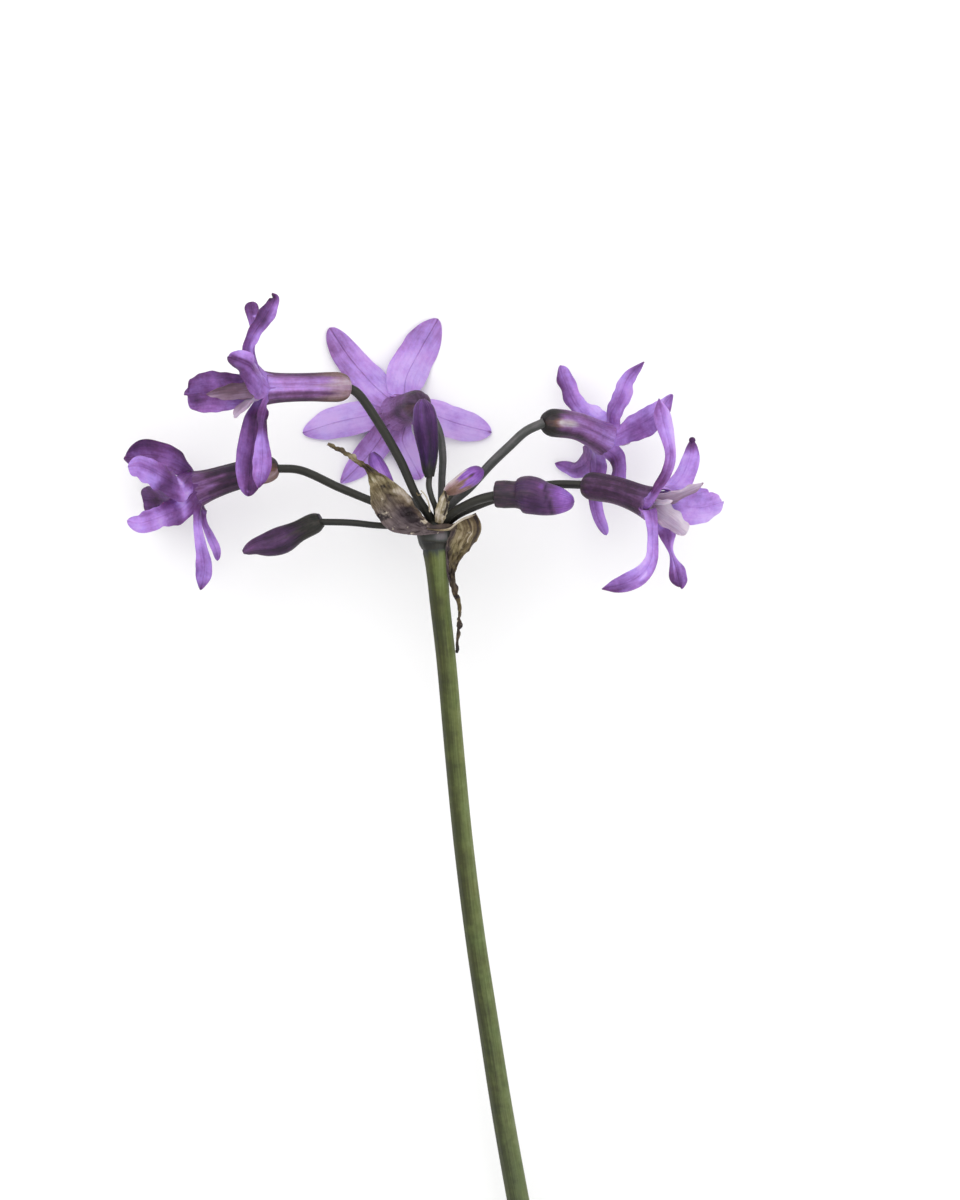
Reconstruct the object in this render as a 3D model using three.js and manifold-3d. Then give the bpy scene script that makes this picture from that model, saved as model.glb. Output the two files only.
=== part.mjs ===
// Society garlic (Tulbaghia violacea): one cut flower head on its stalk, laid on a flat surface.
// Millimetres, +Z up. Shapes are written from the middle of the head, where the flower stalks meet,
// with their height above the surface as Z, and the whole group is then moved so that its origin
// is under the middle of its box. The stalk runs along -Y and the flowers open round its +Y end.
import * as THREE from 'three';
import { mergeVertices } from 'three/addons/utils/BufferGeometryUtils.js';
import Module from 'manifold-3d';

// Driving dimensions.
const BOX_MIDDLE = [-1.7, -60.4];
const STALK_END = -149;
const BLADE = 0.6;
const GAP = 0.3;
const THROAT_RADIUS = 1.3;
const RIM_RADIUS = 1.55;
const ROOT_RADIUS = 1.2;
const ROOT_NARROWS = 0.6;
const ROOT_SUNK = 1.8;
const ROUND_SIDES = 12;
const STALK_SIDES = 6;
const TUBE_RIB = 0.04;
const BUD_RIB = 0.05;

// The corona: its sleeve's depth and rise at the mouth, and its three lobes.
const SLEEVE_DEPTH = 2.2;
const SLEEVE_RISE = 0.3;
const LOBE_SPREAD = 1.5;
const LOBE_FOOT = 0.6;
const LOBE_SUNK = 1.2;
const LOBE_BEND = 0.35;
const LOBE_MIDDLE = 0.55;
const LOBE_CUP = 0.2;
const LOBE_WIDTHS = [1.3, 2.0, 2.1, 0.6];
const LOBE_STATIONS = [0, 0.3, 0.6, 0.82, 1];

// Where the points across a blade lie, as a share of half its width.
const ACROSS = [-1, -0.36, 0.36, 1];

// The head's middle, inside the swollen top of the stalk.
const HEAD = [0, -1.3, 16];

// Colours of the living parts.
const LILAC = 0xa878cc;
const DARK_VIOLET = 0x5c3a70;
const CORONA_MAUVE = 0xcdb8c6;
const STALK_GREEN = 0x66724a;
const DARK_STALK = 0x3e423c;
const PAPERY_BROWN = 0x8a7656;

// The stalk: x, y, z and radius from its swollen top to its cut end.
const SCAPE = [
  [-0.05, -3.1, 16.0, 1.95],
  [0.0, -4.4, 15.9, 1.6],
  [0.1, -6.9, 15.7, 1.38],
  [0.3, -9.6, 15.4, 1.24],
  [1.1, -16.9, 14.7, 1.2],
  [2.1, -28.2, 13.6, 1.2],
  [3.2, -39.5, 12.4, 1.2],
  [4.6, -50.8, 11.3, 1.22],
  [6.3, -62.1, 10.2, 1.27],
  [8.1, -73.5, 9.1, 1.32],
  [10.1, -84.7, 8.0, 1.36],
  [13.4, -102, 6.2, 1.42],
  [18.0, -125, 3.9, 1.48],
  [23.0, STALK_END, 1.44, 1.5],
];

// The swollen dark top that all the flower stalks grow from.
const RECEPTACLE = [
  [-0.05, -2.78, 16.0, 2.0],
  [-0.1, -1.5, 16.1, 2.35],
  [-0.15, -0.4, 16.1, 2.2],
  [-0.15, 0.4, 16.1, 1.5],
  [-0.15, 0.8, 16.1, 0.6],
];

// The flower stalks: x, y, z points from near the head's middle to the foot of each bloom or bud.
const PEDICELS = {
  flower_1: { radius: 0.54, path: [[-0.9, 1.0, 17], [-2.6, 3.7, 19], [-4.6, 8.1, 21.3],
    [-7.4, 12.9, 23.5], [-9.9, 16.4, 25.2], [-11.1, 17.1, 25.6]] },
  flower_2: { radius: 0.5, path: [[-2.1, 0.8, 16], [-7.4, 2.9, 15.2], [-12.2, 4.9, 14.3],
    [-17.2, 7.1, 13.6], [-20.3, 7.1, 13.4]] },
  flower_3: { radius: 0.56, path: [[1.4, 2.2, 16.8], [4.1, 4.7, 17], [6.6, 7.5, 17.1],
    [9.1, 9.9, 17.4], [11.1, 11.7, 17.5], [13.4, 12.8, 17.4]] },
  flower_4: { radius: 0.5, path: [[1.9, 0.6, 16.6], [5.4, 2.2, 17.4], [9.1, 3.6, 18.2],
    [14.1, 5.0, 19.4], [18.4, 5.0, 21.1]] },
  flower_5: { radius: 0.46, path: [[0.5, 2.3, 15.5], [0.6, 5.6, 15.2], [0.7, 8.8, 15],
    [0.2, 11.9, 14.8], [-1.2, 14.5, 14.4], [-2.1, 15.1, 13.6]] },
  bud_1: { radius: 0.33, path: [[-0.1, 1.9, 18], [-0.7, 3.6, 19], [-1.0, 4.9, 19.4], [-0.9, 6.4, 19.5]] },
  bud_2: { radius: 0.5, path: [[1.4, 1.1, 18.2], [3.5, 2.5, 20.2], [5.4, 3.3, 21.4], [7.9, 3.8, 22.1]] },
  bud_3: { radius: 0.4, path: [[-1.5, 0.1, 16.3], [-6.5, -0.1, 16.3], [-10.9, 0.3, 16.2],
    [-15.0, 0.4, 15.9]] },
  bud_4: { radius: 0.36, path: [[0.5, 1.6, 18.5], [1.3, 3.1, 19.3], [2.4, 4.6, 19.7]] },
  bud_5: { radius: 0.36, path: [[-1.4, 1.4, 15], [-3.4, 3.2, 12.5], [-5.7, 5.2, 10.3]] },
};

// The blooms. A tube runs from foot to mouth, and girth is how stout it is at each end beside the
// usual radii. Each petal-like lobe (tepal) leaves the mouth at an angle round the tube, 0 towards +Y,
// and follows its path. Its widths are evenly spaced from the mouth to the tip. Turn is how far it is
// twisted at its root and tip, in degrees. Cup is how deeply its edges rise, as a share of half its width.
const FLOWERS = {
  flower_1: {
    tube: [[-10.7, 17.1, 25.5], [-16, 17.1, 27], [-21.4, 16.9, 28.5]],
    girth: [0.97, 1.0],
    tepals: [
      { at: -30, widths: [1.5, 1.4, 1.9, 2.4, 0.9], turn: [10, 30], cup: 0.2,
        path: [[-23.3, 21.4, 31], [-22.4, 23.9, 31.6], [-21.3, 25.5, 31.6], [-19.8, 28.3, 31]] },
      { at: 30, widths: [1.7, 1.5, 1.6, 2.2, 1.4], turn: [0, -35], cup: 0.3,
        path: [[-23.8, 21.4, 26.8], [-23.1, 24.4, 25.5], [-23.0, 27.5, 24.2]] },
      { at: 90, widths: [1.9, 4.0, 4.9, 4.7, 2.2], turn: [0, 0], cup: 0.15,
        path: [[-24.7, 16.6, 26.2], [-28.0, 16.5, 24], [-30.8, 16.5, 21.5]] },
      { at: 150, widths: [1.8, 2.5, 2.9, 2.6, 0.7], turn: [30, 60], cup: 0.2,
        path: [[-23.1, 12.6, 26.8], [-23.8, 9.5, 26.8], [-23.9, 6.4, 26.4], [-23.4, 3.6, 25.8]] },
      { at: -150, widths: [1.8, 2.2, 2.5, 2.3, 0.7], turn: [-30, -50], cup: 0.3,
        path: [[-21.5, 12.3, 30.6], [-21.5, 9.2, 31], [-22.0, 6.2, 30.6], [-22.8, 4.1, 29.8]] },
      { at: -90, widths: [1.9, 3.1, 3.2, 2.6, 1.4], turn: [0, 0], cup: 0.3,
        path: [[-22.3, 18.1, 34.2], [-23.7, 19.6, 36.2], [-25.7, 20.6, 35.2]] },
    ],
    corona: [[-28.4, 16.1, 26.8], [-25.3, 13.6, 27.6], [-23.8, 18.6, 29.2]],
  },
  flower_2: {
    tube: [[-19.9, 7.3, 13.5], [-25, 6.2, 12.4], [-30.1, 4.6, 11.5]],
    girth: [0.84, 1.0],
    tepals: [
      { at: 23, widths: [1.9, 3.4, 4.0, 3.6, 0.9], turn: [10, 48], cup: 0.2,
        path: [[-31.6, 7.0, 10.8], [-33.9, 8.6, 9.6], [-36.4, 9.1, 8.4], [-39.0, 8.6, 7.2]] },
      { at: -45, widths: [1.9, 3.2, 4.1, 3.6, 1.0], turn: [0, 0], cup: 0.15,
        path: [[-32.4, 4.7, 15.2], [-34.1, 5.4, 17.4], [-35.8, 6.5, 19], [-37.3, 7.2, 19.6],
          [-38.6, 7.2, 19.4]] },
      { at: 83, widths: [1.9, 3.2, 3.6, 3.3, 1.9], turn: [0, 0], cup: 0.4,
        path: [[-33.1, 3.3, 6.2], [-34.9, 3.1, 2.8], [-36.7, 3.1, 0.3]] },
      { at: -105, widths: [2.4, 3.3, 3.2, 2.9, 0.9], turn: [0, 20], cup: 0.2,
        path: [[-32.2, 2.3, 14.2], [-33.9, 1.5, 16.2], [-35.6, 0.7, 18], [-37.2, 0.2, 18.4],
          [-38.6, 0.4, 18.2]] },
      { at: -160, widths: [1.6, 1.5, 1.9, 2.1, 0.4], turn: [25, 60], cup: 0.2,
        path: [[-29.7, 0.4, 13.2], [-29.3, -2.6, 13.2], [-29.1, -5.4, 12.4], [-29.6, -8.1, 11.5]] },
      { at: 143, widths: [1.6, 1.6, 2.0, 1.9, 0.7], turn: [0, 8], cup: 0.15,
        path: [[-29.0, 0.2, 8.8], [-28.1, -1.8, 7.2], [-27.5, -3.3, 6], [-27.5, -4.4, 5.4]] },
    ],
    coronaReach: 3.2,
  },
  flower_3: {
    tube: [[13.3, 12.9, 17.4], [17.5, 12.4, 14.2], [20.9, 10.9, 10.7]],
    girth: [0.92, 0.98],
    tepals: [
      { at: -40, widths: [1.9, 3.2, 2.4, 2.2, 0.8], turn: [0, 15], cup: 0.2,
        path: [[19.1, 13.3, 6.8], [17.5, 14.9, 5.4], [16.5, 17.0, 4.5], [15.5, 20.0, 3.6]] },
      { at: 20, widths: [1.8, 2.0, 2.1, 1.2, 0.35], turn: [0, 15], cup: 0.2,
        path: [[22.0, 13.8, 11.3], [23.3, 16.1, 12.4], [24.3, 18.5, 13.4], [25.9, 20.3, 14]] },
      { at: 80, widths: [1.9, 3.0, 2.9, 1.9, 0.35], turn: [0, 10], cup: 0.15,
        path: [[24.4, 12.0, 12.8], [26.6, 13.1, 14.6], [28.1, 14.5, 16], [29.3, 16.2, 17.3]] },
      { at: 140, widths: [1.8, 1.9, 1.9, 1.7, 0.8], turn: [0, 0], cup: 0.2,
        path: [[22.4, 8.4, 12.5], [22.5, 6.2, 13.8], [22.6, 3.6, 14.6]] },
      { at: -160, widths: [1.8, 2.2, 1.9, 1.5, 0.7], turn: [0, 30], cup: 0.2,
        path: [[20.1, 6.6, 8.5], [19.9, 3.6, 8.3], [20.3, 1.2, 8.4], [21.3, -1.1, 8.5]] },
      { at: -100, widths: [1.9, 2.5, 2.5, 1.6, 0.4], turn: [0, 20], cup: 0.2,
        path: [[18.9, 8.0, 5.2], [17.0, 7.1, 2.0], [16.0, 7.4, 0.9], [15.0, 7.9, 0.4]] },
    ],
    coronaReach: 3.2,
  },
  flower_4: {
    tube: [[18.1, 5.0, 21], [22.4, 4.3, 22.8], [26.6, 2.8, 24.4]],
    girth: [0.88, 0.9],
    tepals: [
      { at: 30, widths: [1.7, 2.3, 2.8, 2.4, 0.4], turn: [25, 52], cup: 0.2,
        path: [[27.8, 5.2, 27.4], [28.7, 7.8, 28.3], [28.6, 10.4, 28.4], [27.9, 13.4, 27.8],
          [27.5, 15.9, 27]] },
      { at: -25, widths: [1.8, 2.8, 3.3, 2.6, 0.8], turn: [25, 60], cup: 0.3,
        path: [[29.3, 4.6, 21.4], [30.7, 6.1, 20], [31.6, 8.4, 18.4], [31.9, 10.8, 17]] },
      { at: -70, widths: [1.8, 2.6, 3.0, 2.7, 1.2], turn: [0, 0], cup: 0.1,
        path: [[29.3, 3.9, 19.4], [31.6, 4.3, 16.8], [33.6, 4.6, 14.8]] },
      { at: -100, widths: [1.9, 3.0, 3.5, 3.2, 1.0], turn: [0, 0], cup: 0.1,
        path: [[29.7, 2.4, 22], [32.8, 2.4, 19.5], [35.5, 2.9, 17.2]] },
      { at: -150, widths: [1.8, 2.2, 0.8, 2.2, 0.7], turn: [-10, 25], cup: 0.15,
        path: [[28.7, -0.6, 22.6], [29.4, -2.2, 22.2], [29.7, -4.2, 21.8], [30.8, -7.5, 20.6]] },
      { at: 140, widths: [1.6, 1.5, 2.2, 2.5, 0.35], turn: [20, 42], cup: 0.2,
        path: [[26.4, -0.2, 28], [26.7, -3.0, 28.8], [25.9, -5.6, 28.9], [23.6, -7.3, 28.4],
          [20.5, -8.0, 27.5]] },
    ],
    corona: [[33.1, 5.3, 23.6], [29.6, 3.3, 27.6], [31.0, -0.9, 24.4]],
  },
  flower_5: {
    tube: [[-2.1, 15.2, 14], [-3.6, 14.9, 8.5], [-5.0, 14.3, 3.2]],
    girth: [0.95, 1.0],
    tepals: [
      { at: 25, widths: [1.9, 4.1, 4.6, 4.3, 1.2], turn: [0, 0], cup: 0.08,
        path: [[-3.7, 18.4, 1.8], [-2.1, 22.2, 0.6], [-0.1, 26.3, 0.28]] },
      { at: -35, widths: [1.9, 3.9, 4.3, 4.2, 1.6], turn: [0, 0], cup: 0.08,
        path: [[-7.5, 17.8, 1.8], [-10.5, 21.4, 0.6], [-13.5, 24.9, 0.28]] },
      { at: -95, widths: [1.9, 3.8, 4.3, 4.1, 1.4], turn: [0, 0], cup: 0.08,
        path: [[-8.8, 13.6, 1.8], [-12.9, 12.6, 0.6], [-16.9, 11.8, 0.28]] },
      { at: -140, widths: [1.9, 3.8, 4.3, 3.9, 1.4], turn: [0, 0], cup: 0.08,
        path: [[-7.3, 10.8, 1.8], [-9.5, 8.1, 0.6], [-12.2, 5.5, 0.28]] },
      { at: 160, widths: [1.9, 3.3, 3.5, 3.1, 1.3], turn: [0, 0], cup: 0.08,
        path: [[-4.5, 10.8, 1.8], [-3.3, 8.2, 0.6], [-2.2, 5.8, 0.28]] },
      { at: 95, widths: [1.9, 3.7, 4.2, 4.1, 1.4], turn: [0, 0], cup: 0.08,
        path: [[-1.2, 13.6, 1.8], [2.8, 12.9, 0.6], [6.8, 11.9, 0.28]] },
    ],
    coronaReach: 1.9,
  },
};

// The buds: x, y, z and radius from foot to tip.
const BUDS = {
  bud_1: [[-0.9, 6.0, 19.5, 0.7], [-1.0, 6.8, 19.6, 0.95], [-1.1, 9.0, 19.8, 1.3], [-1.4, 12.0, 20, 1.6],
    [-1.5, 13.6, 20, 1.5], [-1.6, 15.0, 20, 0.95], [-1.6, 15.7, 20, 0.3]],
  bud_2: [[7.4, 3.8, 22, 1.2], [8.2, 3.8, 22.2, 1.6], [10.5, 3.7, 22.6, 1.7], [11.4, 3.6, 22.8, 2.2],
    [13.2, 3.3, 23, 2.35], [14.8, 3.1, 23.3, 1.9], [16.2, 3.0, 23.4, 1.35], [17.4, 2.9, 23.5, 0.4]],
  bud_3: [[-14.5, 0.6, 16, 1.0], [-15.2, 0.3, 15.8, 1.35], [-17.4, -0.7, 15.3, 1.45],
    [-20.2, -1.9, 14.8, 1.75], [-22.0, -2.7, 14.5, 1.5], [-23.4, -3.2, 14.3, 0.95], [-24.3, -3.5, 14.2, 0.3]],
  bud_4: [[1.9, 4.1, 19.6, 0.75], [2.6, 4.7, 19.8, 1.0], [4.2, 5.9, 20.2, 1.1], [5.2, 6.5, 20.4, 0.85],
    [5.8, 6.9, 20.5, 0.3]],
  bud_5: [[-5.3, 4.8, 10.5, 0.75], [-6.0, 5.7, 10.2, 1.05], [-7.1, 7.3, 9.6, 1.15], [-7.9, 8.5, 9.3, 0.8],
    [-8.3, 9.2, 9.2, 0.3]],
};

const wasm = await Module();
wasm.setup();

const vector = (p) => new THREE.Vector3(p[0], p[1], p[2]);
const radians = THREE.MathUtils.degToRad;

function smoothLine(points) {
  return new THREE.CatmullRomCurve3(points.map(vector));
}

// A closed solid through rings of points that all have the same even number of points. Each end is
// closed by strips from one side of its ring to the other, and the second half of each ring is split
// the other way, so that a thin blade has the same triangles on both faces.
function loft(rings) {
  const count = rings[0].length;
  const half = count / 2;
  const positions = rings.flat().flatMap((p) => [p.x, p.y, p.z]);
  const faces = [];
  for (let i = 0; i + 1 < rings.length; i++) {
    for (let j = 0; j < count; j++) {
      const next = (j + 1) % count;
      const a = i * count + j;
      const b = i * count + next;
      const c = a + count;
      const d = b + count;
      if (j < half) faces.push(a, b, d, a, d, c);
      else faces.push(a, b, c, b, d, c);
    }
  }
  const last = (rings.length - 1) * count;
  for (let j = 0; j + 1 < half; j++) {
    const k = count - 1 - j;
    faces.push(j, k, j + 1, j + 1, k, k - 1);
    faces.push(last + j, last + j + 1, last + k, last + j + 1, last + k - 1, last + k);
  }
  const geometry = new THREE.BufferGeometry();
  geometry.setAttribute('position', new THREE.Float32BufferAttribute(positions, 3));
  geometry.setIndex(faces);
  return geometry;
}

function solidOf(geometry) {
  const bare = geometry.clone();
  bare.deleteAttribute('normal');
  bare.deleteAttribute('uv');
  const merged = mergeVertices(bare, 1e-4);
  const make = (triVerts) => new wasm.Manifold(new wasm.Mesh({
    numProp: 3,
    vertProperties: new Float32Array(merged.attributes.position.array),
    triVerts,
  }));
  const triangles = new Uint32Array(merged.index.array);
  const solid = make(triangles);
  return solid.volume() > 0 ? solid : make(triangles.reverse());
}

// The largest connected body of a solid, without loose scraps.
function mainBody(solid) {
  const bodies = solid.decompose().filter((body) => body.volume() > 0);
  return bodies.reduce((best, body) => (body.volume() > best.volume() ? body : best));
}

function geometryOf(solid) {
  const mesh = solid.getMesh();
  const geometry = new THREE.BufferGeometry();
  geometry.setAttribute('position', new THREE.Float32BufferAttribute(mesh.vertProperties, 3));
  geometry.setIndex(new THREE.Uint32BufferAttribute(mesh.triVerts, 1));
  return geometry;
}

function join(solids) {
  return solids.reduce((whole, solid) => whole.add(solid));
}

// A ring of points round a centre, in the plane of two unit directions.
function ring(centre, across, up, radius, sides, rib = 0) {
  const points = [];
  for (let j = 0; j < sides; j++) {
    const angle = ((j + 0.5) / sides) * 2 * Math.PI;
    const r = radius * (1 + rib * Math.cos(j * Math.PI));
    points.push(centre.clone()
      .addScaledVector(across, r * Math.cos(angle))
      .addScaledVector(up, r * Math.sin(angle)));
  }
  return points;
}

// A round solid along points that each give x, y, z and radius.
function rod(points, { sides = STALK_SIDES, steps = 3, grow = 0, rib = 0 } = {}) {
  const line = smoothLine(points);
  const spans = points.length - 1;
  const total = spans * steps;
  const frames = line.computeFrenetFrames(total, false);
  const rings = [];
  for (let i = 0; i <= total; i++) {
    const share = i / total;
    const span = Math.min(Math.floor(share * spans), spans - 1);
    const radius = THREE.MathUtils.lerp(points[span][3], points[span + 1][3], share * spans - span);
    const centre = line.getPoint(share);
    const tangent = line.getTangent(share);
    const up = frames.normals[i].clone().projectOnPlane(tangent).normalize();
    const across = new THREE.Vector3().crossVectors(up, tangent);
    rings.push(ring(centre, across, up, radius + grow, sides, rib));
  }
  return solidOf(loft(rings));
}

function pedicel(name, grow = 0) {
  const { radius, path } = PEDICELS[name];
  return rod([HEAD, ...path].map((p) => [...p, radius]), { steps: 2, grow });
}

// A value read off a list that is evenly spaced along a length, smoothly from one to the next.
function along(list, share) {
  const curve = new THREE.SplineCurve(list.map((value, i) => new THREE.Vector2(i, value)));
  return curve.getPoint(THREE.MathUtils.clamp(share, 0, 1)).y;
}

// A thin blade along a line, with four points across each face. Its faces are a shallow trough that
// opens to the side that the line and the start direction give, and it is turned about the line.
function blade(path, { start, widths, turn = [0, 0], cup = 0, stations, sunk = 0, grow = 0 }) {
  const line = smoothLine(path);
  const sunkShare = sunk / line.getLength();
  const thickness = BLADE / 2 + grow;
  const rings = stations.map((share) => {
    const centre = line.getPointAt(share);
    const tangent = line.getTangentAt(share);
    const angle = radians(THREE.MathUtils.lerp(turn[0], turn[1], share));
    const across = start.clone().projectOnPlane(tangent).normalize().applyAxisAngle(tangent, angle);
    const up = new THREE.Vector3().crossVectors(tangent, across);
    const narrows = THREE.MathUtils.lerp(ROOT_NARROWS, 1, Math.min(1, share / (sunkShare || 1)));
    const full = along(widths, (share - sunkShare) / (1 - sunkShare));
    const halfWidth = (full * (sunk ? narrows : 1)) / 2 + grow;
    const face = (side) => ACROSS.map((u) => {
      const slope = Math.atan(2 * cup * u);
      const sideways = u * halfWidth - side * thickness * Math.sin(slope);
      const upward = cup * u * u * halfWidth + side * thickness * Math.cos(slope);
      return centre.clone().addScaledVector(across, sideways).addScaledVector(up, upward);
    });
    return [...face(1), ...face(-1).reverse()];
  });
  return solidOf(loft(rings));
}

// The directions at a bloom's mouth: along the tube, towards +Y, and to its side.
function mouthOf(flower) {
  const line = smoothLine(flower.tube);
  const centre = line.getPoint(1);
  const axis = line.getTangent(1);
  const up = new THREE.Vector3(0, 1, 0).projectOnPlane(axis).normalize();
  const side = new THREE.Vector3().crossVectors(axis, up);
  const radial = (angle) => up.clone().multiplyScalar(Math.cos(angle)).addScaledVector(side, Math.sin(angle));
  return { line, centre, axis, up, radial, girth: flower.girth[1] };
}

// The tube with its rounded foot, six ribs and hollow throat: distance along it and radius.
const TUBE_OUTSIDE = [[0, 1.15], [0.04, 1.55], [0.13, 1.85], [0.5, 1.85], [0.82, 1.95], [1, 2.1]];
const TUBE_INSIDE = [[1, 1.45], [0.8, 1.3], [0.45, 1.15], [0.4, 0.5]];

function perianthTube(flower) {
  const { line, up } = mouthOf(flower);
  const ringAt = ([share, radius]) => {
    const tangent = line.getTangentAt(share);
    const above = up.clone().projectOnPlane(tangent).normalize();
    const beside = new THREE.Vector3().crossVectors(above, tangent);
    const girth = THREE.MathUtils.lerp(flower.girth[0], flower.girth[1], share);
    return ring(line.getPointAt(share), beside, above, radius * girth, ROUND_SIDES, TUBE_RIB);
  };
  return solidOf(loft([...TUBE_OUTSIDE, ...TUBE_INSIDE].map(ringAt)));
}

const TEPAL_STATIONS = [0, 0.14, 0.28, 0.43, 0.59, 0.76, 0.9, 1];

function tepal(mouth, { at, widths, turn, cup, path }) {
  const angle = radians(at);
  const outward = mouth.radial(angle);
  const rim = mouth.centre.clone().addScaledVector(outward, RIM_RADIUS * mouth.girth);
  const root = mouth.centre.clone()
    .addScaledVector(outward, ROOT_RADIUS * mouth.girth)
    .addScaledVector(mouth.axis, -ROOT_SUNK);
  const points = [root.toArray(), rim.toArray(), ...path];
  const start = mouth.radial(angle + Math.PI / 2);
  return blade(points, { start, widths, turn, cup, stations: TEPAL_STATIONS, sunk: ROOT_SUNK });
}

// The corona: a short sleeve inside the throat with three pale lobes that stand out of the mouth.
function corona(flower, grow = 0) {
  const mouth = mouthOf(flower);
  const sleeveRadius = THROAT_RADIUS - GAP;
  const tips = flower.corona ?? [60, 180, 300].map((at) => mouth.centre.clone()
    .addScaledVector(mouth.axis, flower.coronaReach)
    .addScaledVector(mouth.radial(radians(at)), LOBE_SPREAD).toArray());
  const low = mouth.centre.clone().addScaledVector(mouth.axis, -SLEEVE_DEPTH).toArray();
  const high = mouth.centre.clone().addScaledVector(mouth.axis, SLEEVE_RISE).toArray();
  const sleeve = rod([[...low, sleeveRadius], [...high, sleeveRadius]], { steps: 1, grow });
  const lobes = tips.map((tip) => {
    const outward = vector(tip).sub(mouth.centre).projectOnPlane(mouth.axis).normalize();
    const root = mouth.centre.clone().addScaledVector(outward, LOBE_FOOT);
    const sunk = root.clone().addScaledVector(mouth.axis, -LOBE_SUNK);
    const start = new THREE.Vector3().crossVectors(mouth.axis, outward);
    const middle = root.clone().lerp(vector(tip), LOBE_MIDDLE).addScaledVector(mouth.axis, LOBE_BEND);
    const path = [sunk.toArray(), root.toArray(), middle.toArray(), tip];
    return blade(path, { start, widths: LOBE_WIDTHS, cup: LOBE_CUP, stations: LOBE_STATIONS, grow });
  });
  return join([sleeve, ...lobes]);
}

// The surface that the part lies on, as a block to trim with.
const GROUND = [400, 400, 20];
const ground = solidOf(new THREE.BoxGeometry(...GROUND).translate(0, 0, -GROUND[2] / 2));

function perianth(name, flower) {
  const mouth = mouthOf(flower);
  const tepals = flower.tepals.map((one) => tepal(mouth, one));
  const whole = join([perianthTube(flower), ...tepals]);
  return whole.subtract(pedicel(name, GAP)).subtract(corona(flower, GAP)).subtract(ground);
}

function bud(name) {
  return rod(BUDS[name], { sides: ROUND_SIDES, steps: 2, rib: BUD_RIB }).subtract(pedicel(name, GAP));
}

// The papery spathe: a collar round the swollen top, and the two valves that opened from it. The left
// one is cupped towards the viewer above and ends in a thread, the right one hangs along the stalk.
const COLLAR = { middle: [-0.35, -0.75, 16.1], inner: 2.72, outer: 3.32, height: 0.8 };
const LEFT_VALVE = {
  path: [[1.4, -0.7, 18.7], [-0.6, -0.6, 19.3], [-2.6, 0.1, 19.5], [-4.2, 1.4, 19.3], [-5.8, 3.4, 18.9],
    [-7.4, 5.6, 18.5], [-8.7, 7.1, 18.3], [-10.6, 8.4, 18.1], [-12.1, 9.4, 18.1], [-13.6, 10.2, 18.3]],
  start: [0.3, 1, 0],
  widths: [0.8, 1.6, 3.6, 4.5, 4.0, 2.8, 1.2, 0.7, 0.6, 0.6],
};
const RIGHT_VALVE = {
  path: [[3.2, 0.7, 17.9], [3.7, -0.5, 17.8], [3.1, -1.9, 17.5], [2.3, -3.6, 17.3], [1.9, -5.4, 16.9],
    [2.0, -7.6, 16.6], [2.7, -9.6, 16.5], [2.9, -11.8, 16.4], [2.6, -14, 16.3], [2.4, -16, 16.2]],
  start: [1, 0.25, -0.25],
  widths: [3.9, 3.9, 3.0, 1.6, 0.9, 0.7, 0.6, 0.6, 0.6, 0.6],
};

const VALVE_CUP = -0.22;

function valve({ path, start, widths }) {
  const stations = path.map((_, i) => i / (path.length - 1));
  return blade(path, { start: vector(start), widths, cup: VALVE_CUP, stations });
}

function collar() {
  const { middle, inner, outer, height } = COLLAR;
  const section = [[inner, 0], [outer, 0], [outer + 0.2, height], [inner + 0.2, height], [inner, 0]];
  const profile = section.map(([x, y]) => new THREE.Vector2(x, y));
  return solidOf(new THREE.LatheGeometry(profile, 16).translate(...middle));
}

const scape = rod(SCAPE, { sides: ROUND_SIDES, steps: 1 }).subtract(ground);
const pedicels = join([rod(RECEPTACLE, { sides: ROUND_SIDES, steps: 2 }),
  ...Object.keys(PEDICELS).map((name) => pedicel(name))]);

const stalkClearance = join([rod(SCAPE, { sides: ROUND_SIDES, steps: 1, grow: GAP }),
  rod(RECEPTACLE, { sides: ROUND_SIDES, steps: 2, grow: GAP }),
  ...Object.keys(PEDICELS).map((name) => pedicel(name, GAP))]);
const spathe = join([collar(), valve(LEFT_VALVE), valve(RIGHT_VALVE)]).subtract(stalkClearance);

const group = new THREE.Group();
group.position.set(-BOX_MIDDLE[0], -BOX_MIDDLE[1], 0);

function add(name, solid, color, roughness) {
  const material = new THREE.MeshStandardMaterial({ color, roughness, metalness: 0 });
  const mesh = new THREE.Mesh(geometryOf(mainBody(solid)), material);
  mesh.name = name;
  group.add(mesh);
}

add('scape', scape, STALK_GREEN, 0.55);
add('pedicels', pedicels, DARK_STALK, 0.6);
add('spathe', spathe, PAPERY_BROWN, 0.75);
for (const [name, flower] of Object.entries(FLOWERS)) {
  add(name, perianth(name, flower), LILAC, 0.6);
  add(name.replace('flower', 'corona'), corona(flower), CORONA_MAUVE, 0.65);
}
for (const name of Object.keys(BUDS)) {
  add(name, bud(name), DARK_VIOLET, 0.6);
}

export default group;
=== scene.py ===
import math

import bpy
import numpy as np
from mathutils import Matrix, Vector


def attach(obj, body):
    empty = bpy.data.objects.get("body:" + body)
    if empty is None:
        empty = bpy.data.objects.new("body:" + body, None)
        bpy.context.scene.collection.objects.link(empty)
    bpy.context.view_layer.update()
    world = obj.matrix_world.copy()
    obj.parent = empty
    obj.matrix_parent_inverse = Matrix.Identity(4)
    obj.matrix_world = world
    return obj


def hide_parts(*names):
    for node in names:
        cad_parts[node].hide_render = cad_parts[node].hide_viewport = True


# A cut society garlic flower head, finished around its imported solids.
# Shapes are in millimetres from the middle of the head. HEAD_TO_ROW moves them to the shared frame.

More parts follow.
